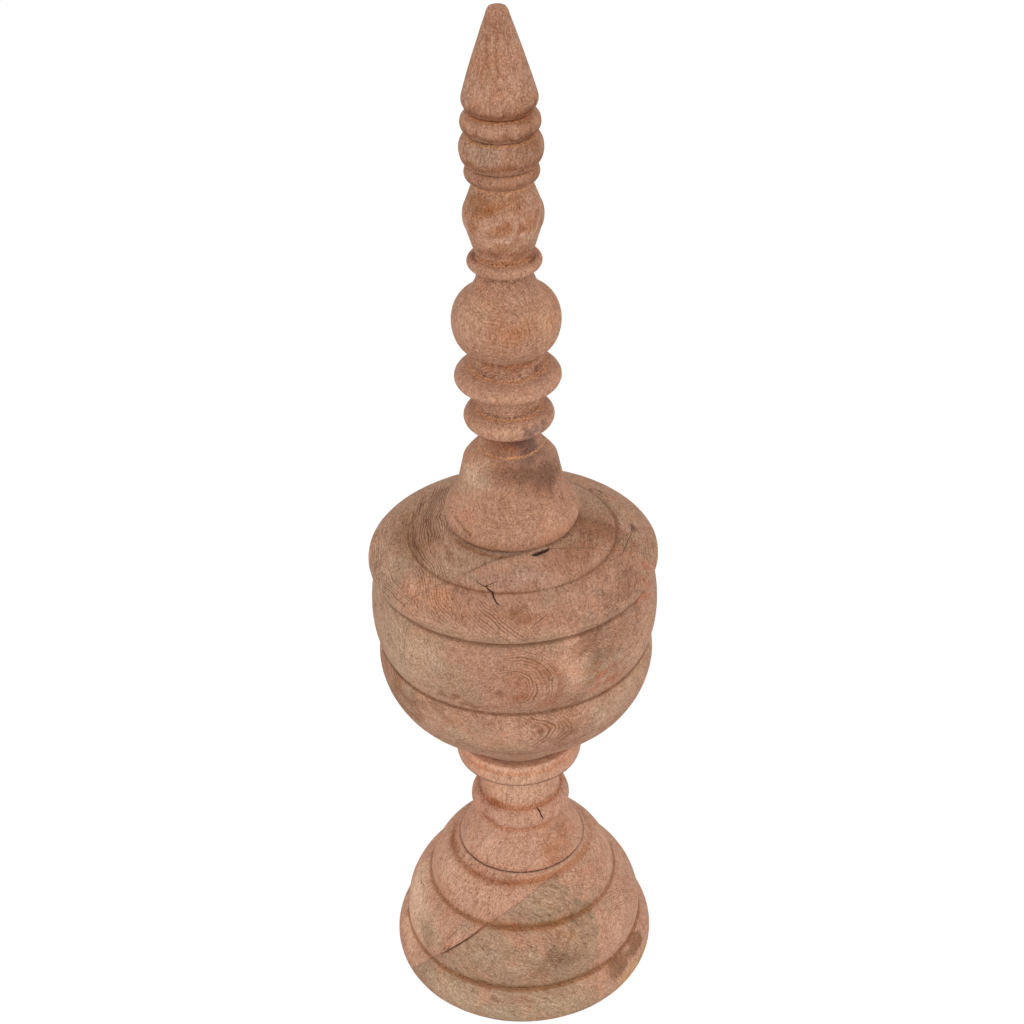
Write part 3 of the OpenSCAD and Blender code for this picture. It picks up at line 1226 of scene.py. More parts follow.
@dataclass
class Foot(TurnedPiece):
    """The three-stepped foot, with the cove round the stem."""

    node: str = "foot"
    slot: str = "foot_wood"
    columns: int = 428
    toe_d: float = 163.0
    foot_d: float = 167.0
    base_h: float = 24.0
    base_groove_d: float = 151.0
    step_h: float = 37.5
    step_groove_d: float = 119.0
    step_swell: float = 6.3
    cap_h: float = 25.5
    cap_d: float = 91.0
    cap_swell: float = 3.1
    cove_h: float = 4.0
    cove_dip: float = 0.8
    seat_d: float = 82.0

    def bottom_d(self) -> float:
        """Diameter of the flat underneath."""
        return self.toe_d

    def courses(self) -> list[Course]:
        """Lowest step, middle step, top step and cove.

        Returns:
            The courses, from the bottom up.
        """
        return [
            ring(self.base_h, self.foot_d, self.toe_d, self.base_groove_d, Sweep.ROUND),
            Course(self.step_h, self.step_groove_d, self.step_swell),
            Course(self.cap_h, self.cap_d, self.cap_swell),
            Course(self.cove_h, self.seat_d, -self.cove_dip),
        ]

    def marks(self) -> list[Mark]:
        """Stains, knots at the lower right, streaks, growth lines and hairlines, from below.

        Returns:
            The marks.
        """
        grey, cream = (0.84, 0.88, 0.86), (1.26, 1.46, 1.54)
        tan = (0.9, 0.94, 0.92)
        return [
            StainAndPaintedLight((0, 6), 60, 6, (1.06, 1.1, 1.1)),
            StainAndPaintedLight((62, 8), 34, 5, (1.05, 1.08, 0.86)),
            StainAndPaintedLight((0, 12), 50, 8, (1.0, 1.06, 1.06)),
            StainAndPaintedLight((0, 12), 34, 8, (1.02, 1.07, 1.07), ragged=0.3),
            StainAndPaintedLight((24, 14), 26, 10, (1.1, 1.12, 1.12)),
            StainAndPaintedLight((-30, 15), 34, 10, (1.05, 1.09, 1.12)),
            StainAndPaintedLight((-38, 16), 26, 14, (1.16, 1.18, 1.18)),
            StainAndPaintedLight((48.5, 18.5), 11, 7, (0.56, 0.49, 0.4), turn=8, edge=8),
            StainAndPaintedLight((64, 19.5), 10.5, 7.5, (0.56, 0.49, 0.4), turn=8, edge=8),
            StainAndPaintedLight((-52, 20), 26, 9, tan, ragged=0.4),
            StainAndPaintedLight((-72, 24), 20, 10, (1.24, 1.38, 1.38)),
            StainAndPaintedLight((8, 36), 8, 6, (0.84, 0.8, 0.74), turn=-30, ragged=0.5),
            StainAndPaintedLight((-54, 40), 16, 9, tan, ragged=0.5),
            StainAndPaintedLight((-60, 42), 14, 8, (0.82, 0.86, 0.82), ragged=0.6),
            StainAndPaintedLight((20, 44), 9, 7, (0.76, 0.73, 0.67), turn=-30, ragged=0.5),
            StainAndPaintedLight((-80, 46), 24, 20, cream),
            StainAndPaintedLight((12, 46), 26, 12, (0.92, 0.94, 0.95), ragged=0.4),
            StainAndPaintedLight((38, 46), 9, 10, (0.88, 0.88, 0.86), ragged=0.5),
            StainAndPaintedLight((57, 46), 12, 10, (1.05, 1.07, 1.08), ragged=0.4),
            StainAndPaintedLight((22, 49), 14, 12, (0.88, 0.88, 0.88), turn=-30),
            StainAndPaintedLight((-58, 50), 16, 12, (1.06, 1.14, 1.16), ragged=0.3),
            StainAndPaintedLight((-30, 50), 14, 10, (1.04, 1.06, 1.04), ragged=0.4),
            StainAndPaintedLight((0, 50), 30, 10, (1.06, 1.1, 1.12), ragged=0.3),
            StainAndPaintedLight((-80, 52), 22, 12, (1.1, 1.17, 1.18)),
            StainAndPaintedLight((-46, 54), 12, 8, (1.04, 1.1, 1.12), ragged=0.4),
            StainAndPaintedLight((26, 56), 16, 16, (1.16, 1.12, 1.08), ragged=0.5),
            StainAndPaintedLight((57, 60), 7, 7, grey, ragged=0.9),
            StainAndPaintedLight((47, 66), 8, 8, grey, ragged=0.9),
            StainAndPaintedLight((17, 69), 12, 10, grey, ragged=0.6),
            StainAndPaintedLight((28, 70), 8, 8, grey, ragged=0.9),
            StainAndPaintedLight((38, 71), 7, 9, grey, ragged=0.9),
            StainAndPaintedLight((24, 72), 12, 9, (1.14, 1.07, 1.09), ragged=0.5),
            StainAndPaintedLight((-56, 78), 24, 10, (1.05, 1.1, 1.12)),
            StainAndPaintedLight((-62, 80), 26, 12, (1.14, 1.22, 1.26)),
            StainAndPaintedLight((-4, 80), 24, 8, (1.07, 1.1, 1.12)),
            Streak(((-46, 26), (-25, 26), (0, 26.2), (25, 26), (42, 26)), 2.2, (0.76, 0.65, 0.5),
                   0.4),
            Streak(((22, 60), (12, 48), (4, 34)), 2.2, (0.8, 0.74, 0.68)),
            Streak(((28, 58), (20, 48), (14, 38)), 1.6, (0.84, 0.78, 0.72)),
            Streak(((-21.5, 63.5), (-27, 58.4), (-33, 51.8), (-39, 43.8), (-46, 33.6)), 0.9,
                   (0.55, 0.42, 0.33), 0.15),
            Streak(level(62.5, -70, 70), 2.4, (0.92, 0.8, 0.68), 0.4),
            Streak(((-22, 63.4), (-4, 63.6), (14, 63.6), (36, 63.4)), 2.6, (0.74, 0.62, 0.48),
                   0.4),
            Streak(((-110, 87.4), (-80, 87), (-50, 86.4), (-25, 86.6), (0, 87.2)), 2.4,
                   (0.68, 0.54, 0.42), 0.3),
            Streak(((-20, 87), (0, 87.2), (20, 87.6), (45, 88), (80, 88)), 2.2, (0.84, 0.66, 0.5),
                   0.3),
            Figure(((26, 58), (14, 46), (4, 34), (-4, 28)), 9, 0.35),
            Figure(((-28, 56), (-38, 46), (-48, 34)), 5, 0.4),
            Figure(((46, 55), (58, 57), (70, 52), (79, 42), (84, 32)), 8, 0.5),
            Figure(((-92, 70), (-86, 76), (-70, 80), (-50, 80), (-34, 76)), 6, 0.3),
            Figure(((32, 84), (44, 81), (56, 75), (64, 66)), 9, 0.5),
            Check(((-44, 36.5), (-38, 45.2), (-31, 54.2), (-26, 59.3)), 0.28, 0.3, 0.1),
            Check(((-92, 56), (-84, 54.6), (-78, 57)), 0.3, 0.3),
        ]

    def finish(self) -> RawWood:
        """Pink wood with a tan board glued to its front and a pink one at its right.

        Returns:
            The wood.
        """
        tan = Block((0, 0, 10), (0.9, -0.2, -0.45), tone(186, 152, 126), tone(150, 116, 89),
                    (GlueFace((0.577, -0.465, -0.672), -29.6),))
        ragged = (GlueFace((1, 0, 0), 46.0, 6.0), GlueFace((0.764, 0, 0.645), 73.0, 5.0))
        right = Block((62, 0, 46), (0.3, -0.7, -0.6), tone(206, 163, 137), tone(182, 132, 106),
                      ragged, glue=0.0)
        return RawWood(
            blocks=(GLUED_PINK, tan, right),
            late=tone(150, 100, 70),
            cool=tone(172, 142, 120),
            warm=tone(200, 142, 112),
            groove_and_shade_tone=tone(112, 70, 36),
            # painted light: colour of the up-facing groove ledges
            ledge_light=tone(158, 104, 66),
            groove=0.95,
            ring_mm=3.2,
            cool_share=0.3,
            seed=1.0,
        )


@dataclass
class Stem(TurnedPiece):
    """The skirt, bead, neck and collar between the foot and the urn."""

    node: str = "stem"
    slot: str = "stem_wood"
    base_z: float = 91.0
    columns: int = 380
    spacing: float = 0.7
    skirt_d: float = 81.0
    skirt_h: float = 27.4
    bead_groove_d: float = 54.4
    bead_h: float = 13.8
    bead_d: float = 62.4
    neck_d: float = 50.8
    neck_h: float = 30.8
    neck_dip: float = 0.6
    collar_d: float = 76.6
    collar_top_d: float = 74.6
    collar_h: float = 14.0
    collar_swell: float = 1.4

    def bottom_d(self) -> float:
        """Diameter of the flat underneath."""
        return self.skirt_d

    def courses(self) -> list[Course]:
        """Skirt, bead, neck, underside of the collar and collar.

        Returns:
            The courses, from the bottom up.
        """
        return [
            Course(self.skirt_h, self.bead_groove_d),
            ring(self.bead_h, self.bead_d, self.bead_groove_d, self.neck_d),
            Course(self.neck_h, self.neck_d, -self.neck_dip),
            Course(0.0, self.collar_d),
            Course(self.collar_h, self.collar_top_d, self.collar_swell),
        ]

    def marks(self) -> list[Mark]:
        """Stains, painted light where the urn's shade falls on the neck and the collar, a painted
        shadow under the collar's rim, dark lines in the grooves, and checks, from below.

        Returns:
            The marks.
        """
        return [
            StainAndPaintedLight((-52, 102), 14, 16, (1.1, 1.12, 1.12)),
            StainAndPaintedLight((50, 102), 12, 14, (0.9, 0.82, 0.72), ragged=0.5),
            StainAndPaintedLight((-54, 104), 14, 12, (1.03, 1.08, 1.12), ragged=0.3),
            StainAndPaintedLight((44, 104), 14, 14, (0.96, 0.92, 0.9), ragged=0.3),
            StainAndPaintedLight((48, 112), 6, 5, (0.82, 0.86, 0.86), ragged=0.9),
            StainAndPaintedLight((-42, 122), 6, 5, (0.74, 0.5, 0.4)),
            StainAndPaintedLight((-38, 134), 6, 3, (0.8, 0.62, 0.5)),
            StainAndPaintedLight((-52, 147), 10.5, 18, (0.94, 0.88, 0.86), ragged=0.05, edge=6.0),
            # painted light: the neck is lightened where the urn's shade falls on it
            StainAndPaintedLight((-38, 148), 10, 14, (1.16, 1.22, 1.16)),
            StainAndPaintedLight((-30, 150), 12, 14, (1.1, 1.14, 1.18)),
            StainAndPaintedLight((-4, 150), 34, 16, (1.14, 1.2, 1.2), ragged=0.1),
            StainAndPaintedLight((-6, 170), 44, 10, (1.1, 1.15, 1.14), ragged=0.1),
            StainAndPaintedLight((-40, 172), 16, 8, (1.1, 1.11, 1.13)),
            StainAndPaintedLight((-47, 173), 8, 7, (0.97, 0.86, 0.78)),
            Streak(((-60, 93), (-30, 92.4), (0, 92.4), (30, 92.4), (50, 93)), 1.6,
                   (0.8, 0.68, 0.62)),
            Streak(level(118.4, -60, 60), 1.8, (0.88, 0.74, 0.6), 0.3),
            Streak(level(132.8, -70, 70), 2.2, (0.94, 0.8, 0.66), 0.3),
            Streak(((-27.4, 133), (-27.6, 144), (-27.2, 160)), 0.5, (0.8, 0.7, 0.64), 0.2),
            # painted shadow: a dark line under the collar's rim
            Streak(level(163.5, -85, 85), 0.95, (0.3, 0.23, 0.21), 0.1),
            Streak(((-80, 173), (-40, 172.6), (0, 172.6), (40, 172.8), (80, 173)), 1.3,
                   (0.97, 0.8, 0.68), 0.5),
            # painted light: the collar's top is lightened where the urn's shade falls on it
            Streak(level(175.8, -85, 85), 2.4, (1.16, 1.2, 1.22), 0.2),
            Check(((-90, 92), (-40, 91.6), (0, 91.5), (40, 91.6), (66, 92)), 0.45, 0.3, 0.1),
            Check(((22, 132.8), (24.5, 131.2), (25.5, 128.0), (27, 124.5)), 0.55, 1.0, 0.2),
        ]

    def finish(self) -> RawWood:
        """Salmon pink wood, with a lighter board glued to its front.

        Returns:
            The wood.
        """
        main = Block((40, 30, 100), (0.1, 0.15, 1.0), tone(200, 152, 127), tone(182, 130, 104))
        front = Block((0, 0, 100), (0.15, 0.1, 1.0), tone(207, 162, 137), tone(188, 136, 109),
                      (GlueFace((0, -1, 0), 23.4), GlueFace((1, 0, 0), 0.0)), glue=0.15)
        return RawWood(
            blocks=(main, front),
            late=tone(172, 116, 86),
            cool=tone(190, 150, 128),
            warm=tone(204, 146, 117),
            groove_and_shade_tone=tone(146, 92, 58),
            # painted light: colour of the up-facing groove ledges
            ledge_light=tone(196, 136, 100),
            groove=0.45,
            ring_mm=3.0,
            cool_share=0.15,
            seed=2.0,
        )


@dataclass
class Urn(TurnedPiece):
    """The bowl, middle band, shoulder and crown."""

    node: str = "urn_body"
    slot: str = "urn_wood"
    base_z: float = 177.0
    columns: int = 326
    spacing: float = 0.95
    foot_d: float = 63.4
    low_h: float = 30.7
    turn_d: float = 120.0
    low_swell: float = 0.5
    bowl_h: float = 48.0
    bowl_swell: float = 10.0
    groove_d: float = 160.2
    band_h: float = 52.0
    band_swell: float = 5.4
    brow_h: float = 9.1
    brow_d: float = 170.0
    brow_swell: float = 2.4
    shoulder_h: float = 11.4
    crown_d: float = 122.6
    shoulder_swell: float = 2.3
    crown_h: float = 10.4
    seat_d: float = 73.0
    crown_swell: float = 1.0

    def bottom_d(self) -> float:
        """Diameter of the flat underneath."""
        return self.foot_d

    def courses(self) -> list[Course]:
        """Two courses of bowl, then band, brow, shoulder and crown.

        Returns:
            The courses, from the bottom up.
        """
        return [
            Course(self.low_h, self.turn_d, self.low_swell),
            Course(self.bowl_h, self.groove_d, self.bowl_swell, Sweep.ROUND),
            Course(self.band_h, self.groove_d, self.band_swell),
            Course(self.brow_h, self.brow_d, self.brow_swell, Sweep.ROUND),
            Course(self.shoulder_h, self.crown_d, self.shoulder_swell),
            Course(self.crown_h, self.seat_d, self.crown_swell),
        ]

    def marks(self) -> list[Mark]:
        """Stains, brown heartwood, eyes, growth lines, checks, an open joint and a painted shadow
        under the bell's lip, from below.

        Returns:
            The marks.
        """
        brown = (0.6, 0.5, 0.42)
        grey, pink = (0.84, 0.88, 0.9), (1.06, 0.98, 0.96)
        return [
            StainAndPaintedLight((-25, 235), 34, 14, (1.08, 1.14, 1.14), ragged=0.3),
            StainAndPaintedLight((-25, 236), 16, 9, (1.02, 1.08, 1.08), ragged=0.4),
            StainAndPaintedLight((18, 238), 9, 12, (0.76, 0.7, 0.66), turn=-20, ragged=0.6),
            StainAndPaintedLight((38, 238), 18, 10, (1.02, 1.12, 1.15), ragged=0.3),
            StainAndPaintedLight((17, 239), 12, 8, (1.02, 1.1, 1.1)),
            StainAndPaintedLight((-54, 240), 10, 10, (0.74, 0.6, 0.5), turn=30, ragged=0.7),
            StainAndPaintedLight((1, 243), 21, 11, (1.15, 1.13, 1.14), ragged=0.3),
            StainAndPaintedLight((50, 245), 30, 16, (1.1, 1.16, 1.16), ragged=0.3),
            StainAndPaintedLight((-68, 246), 12, 16, (0.8, 0.62, 0.52), turn=20, ragged=0.6),
            StainAndPaintedLight((10, 247), 9, 4, (0.78, 0.62, 0.54), turn=-20, ragged=0.7),
            StainAndPaintedLight((-38, 248), 14, 5, (0.8, 0.74, 0.68), ragged=0.6),
            StainAndPaintedLight((-17, 262), 12, 3, (0.8, 0.7, 0.62), ragged=0.5),
            StainAndPaintedLight((20, 262), 14, 8, (0.84, 0.82, 0.78), ragged=0.6),
            StainAndPaintedLight((-30, 266), 9, 3, (0.68, 0.6, 0.52), ragged=0.7),
            StainAndPaintedLight((42, 268), 6, 8, (0.9, 0.66, 0.56), ragged=0.8),
            StainAndPaintedLight((54, 268), 12, 10, (1.08, 1.12, 1.1), ragged=0.4),
            StainAndPaintedLight((2, 272), 7, 4, (0.8, 0.6, 0.5), ragged=0.3),
            StainAndPaintedLight((-7, 275), 3, 2.5, (0.6, 0.5, 0.44)),
            StainAndPaintedLight((34, 275), 5, 7, (1.04, 0.72, 0.62), ragged=0.8),
            StainAndPaintedLight((60, 275), 22, 24, (1.08, 1.1, 1.08), ragged=0.4),
            StainAndPaintedLight((-28, 278), 14, 12, (0.98, 1.06, 1.04), ragged=0.3),
            StainAndPaintedLight((33, 279), 10, 10, (0.9, 0.97, 1.0), ragged=0.4),
            StainAndPaintedLight((34, 280), 16, 12, (1.02, 1.16, 1.2), ragged=0.4),
            StainAndPaintedLight((-42, 281), 20, 16, (1.1, 1.16, 1.2), ragged=0.4),
            StainAndPaintedLight((2, 282), 14, 20, (0.95, 0.77, 0.68), ragged=0.3),
            StainAndPaintedLight((18, 284), 8, 12, (1.08, 1.12, 1.15), ragged=0.4),
            StainAndPaintedLight((-50, 285), 30, 34, (1.12, 1.26, 1.26), ragged=0.25),
            StainAndPaintedLight((30, 290), 10, 14, (0.76, 0.73, 0.67), ragged=0.6),
            StainAndPaintedLight((22, 292), 12, 18, (1.3, 1.3, 1.32), ragged=0.4),
            StainAndPaintedLight((44, 298), 13, 8, (0.84, 0.84, 0.82), ragged=0.8),
            StainAndPaintedLight((30, 300), 9, 7, (0.76, 0.72, 0.66), ragged=0.6),
            StainAndPaintedLight((64, 309), 10, 8, (1.0, 0.72, 0.62), ragged=0.6),
            StainAndPaintedLight((38, 314), 16, 8, grey, ragged=0.8),
            StainAndPaintedLight((56, 316), 18, 7, (0.8, 0.76, 0.74), ragged=0.7),
            StainAndPaintedLight((-66, 318), 16, 9, grey, ragged=0.5),
            StainAndPaintedLight((-74, 321), 24, 13, (1.12, 1.18, 1.2), ragged=0.4),
            StainAndPaintedLight((19, 321), 24, 7, pink, ragged=0.3),
            StainAndPaintedLight((3, 323), 10, 6, (0.8, 0.72, 0.64), turn=-40, ragged=0.4),
            StainAndPaintedLight((-8, 324), 34, 6, (0.9, 0.84, 0.78), ragged=0.4),
            StainAndPaintedLight((60, 324), 26, 10, (0.88, 0.82, 0.78), ragged=0.5),
            StainAndPaintedLight((92, 325.8), 4, 3, (0.4, 0.34, 0.32)),
            StainAndPaintedLight((-46, 326), 13, 7, (1.22, 1.16, 1.16), ragged=0.4),
            StainAndPaintedLight((-36, 326), 22, 9, (1.06, 0.94, 0.84), ragged=0.4),
            StainAndPaintedLight((-92, 330), 26, 12, (0.72, 0.62, 0.5), turn=10),
            StainAndPaintedLight((-72, 330), 16, 12, (0.82, 0.78, 0.72), ragged=0.35),
            StainAndPaintedLight((0, 333), 24, 7, (0.92, 0.99, 1.06), ragged=0.3),
            StainAndPaintedLight((48, 334), 20, 8, (0.84, 0.76, 0.68), ragged=0.3),
            StainAndPaintedLight((84, 334), 18, 28, (0.76, 0.66, 0.6), ragged=0.3),
            StainAndPaintedLight((88, 334), 18, 14, (0.9, 0.8, 0.7), ragged=0.3),
            StainAndPaintedLight((45, 336), 16, 10, (0.86, 0.8, 0.76), ragged=0.35),
            Streak(((-30, 230), (-14, 224), (2, 222), (18, 224), (34, 230)), 1.0, (0.7, 0.6, 0.52),
                   0.4),
            Streak(level(255.8, -110, 110), 0.9, (0.7, 0.58, 0.48), 0.1),
            Streak(((12, 296), (16.5, 286), (17.5, 276), (14.5, 266), (6, 260)), 2.6,
                   (0.78, 0.62, 0.54)),
            Streak(((4, 300), (10, 292), (12, 283), (10, 275)), 1.8, (0.8, 0.66, 0.58)),
            Streak(level(307.7, -110, 110), 0.9, (0.6, 0.52, 0.44), 0.1),
            Streak(((-33, 330.4), (-30, 327), (-27, 324)), 0.9, (0.74, 0.74, 0.74), 0.2),
            Streak(((-70, 328.2), (-50, 328.2), (-30, 328.2), (-8, 328.2), (14, 328.4)), 1.2,
                   (0.76, 0.64, 0.52), 0.3),
            Streak(((28, 328.4), (50, 328.2), (75, 328.2), (100, 328.2), (125, 328.2)), 1.8,
                   (0.82, 0.75, 0.7), 0.2),
            Streak(((-130, 327), (-112, 329), (-95, 330), (-78, 330), (-66, 329)), 1.4, brown),
            Streak(((-96, 330), (-78, 330), (-60, 329.4)), 2.2, (0.64, 0.52, 0.42)),
            Streak(((-134, 330), (-114, 332), (-98, 332.6), (-80, 333)), 2.4, (0.55, 0.44, 0.36)),
            Streak(((-141, 328), (-122, 333.5), (-101, 334.8), (-88, 335), (-68, 334.3)), 3.0,
                   (0.52, 0.44, 0.37)),
            Streak(((-84, 336), (-66, 336), (-50, 335), (-40, 333)), 1.6, (0.74, 0.66, 0.58)),
            Streak(((-33, 330.4), (-22, 336.2), (-8, 338), (7, 338.3)), 0.8, (0.7, 0.68, 0.66),
                   0.2),
            # painted shadow: the crown round the bell's foot, under its lip
            Streak(((-62, 338), (-30, 337.8), (0, 337.6)), 1.3, (0.72, 0.58, 0.46), 0.2),
            Eye((-3, 242), 38, 20, 0, 0.85),
            Eye((-2, 278), 28, 26, 10, 1.0),
            Figure(((-34, 232), (-16, 224), (2, 221), (20, 224), (36, 231)), 6),
            Figure(((-80, 262), (-68, 250), (-56, 240), (-44, 234)), 10, 0.8),
            Figure(((28, 300), (38, 288), (44, 274), (50, 262)), 8, 0.3),
            Figure(((-70, 300), (-52, 292), (-38, 280), (-30, 268)), 14, 0.4),
            Figure(((-110, 322), (-85, 320), (-62, 318), (-42, 315), (-26, 312)), 9, 0.65),
            Figure(((-18, 326), (-8, 321), (0, 315), (4, 308)), 9),
            Figure(((30, 312), (50, 318), (70, 322), (95, 324), (120, 325)), 8, 0.3),
            Figure(((-78, 330), (-60, 330), (-46, 328), (-34, 324), (-26, 319)), 9, 0.65),
            Figure(((-145, 327), (-122, 333), (-101, 334.4), (-88, 334.6), (-66, 333)), 16, 1.0),
            Check(((5.5, 319), (9, 321), (14, 323.5)), 0.22, 0.3, 0.3),
            Check(((91, 326), (84, 326.8), (76, 327.2), (66, 327.1)), 0.24, 0.4, 0.2),
            Check(((132, 327.5), (125, 326.7)), 0.5, 0.6, 0.2),
            Check(((-17.5, 330.4), (-12.5, 328.8), (-6.5, 326.2)), 0.5, 1.2, 0.15),
            Check(((-27, 332), (-21, 330.8), (-15, 329.6)), 0.16, 0.2, 0.2),
            Check(((-17, 330.2), (-13, 331), (-10, 332)), 0.26, 0.5, 0.1),
            Check(((15, 337.9), (21, 338.0), (27, 338.1), (33, 338.2)), 1.3, 1.6, 0.1),
        ]

    def finish(self) -> RawWood:
        """Tan wood whose grain runs from back to front, with a greyer board at the front.

        Returns:
            The wood.
        """
        main = Block((2, -84, 291), (-0.05, -0.97, -0.25), tone(192, 154, 128), tone(152, 114, 88))
        front = Block((4, 0, 289), (0.08, -0.96, -0.27), tone(193, 150, 125), tone(160, 116, 90),
                      (GlueFace((0.26, -0.966, 0), 37.2),))
        return RawWood(
            blocks=(main, front),
            late=tone(126, 76, 50),
            cool=tone(168, 138, 114),
            warm=tone(190, 134, 104),
            groove_and_shade_tone=tone(92, 60, 38),
            # painted light: colour of the up-facing groove ledges
            ledge_light=tone(120, 80, 54),
            dash=0.24,
            groove=0.6,
            ring_mm=2.5,
            cool_share=0.5,
            seed=3.0,
        )


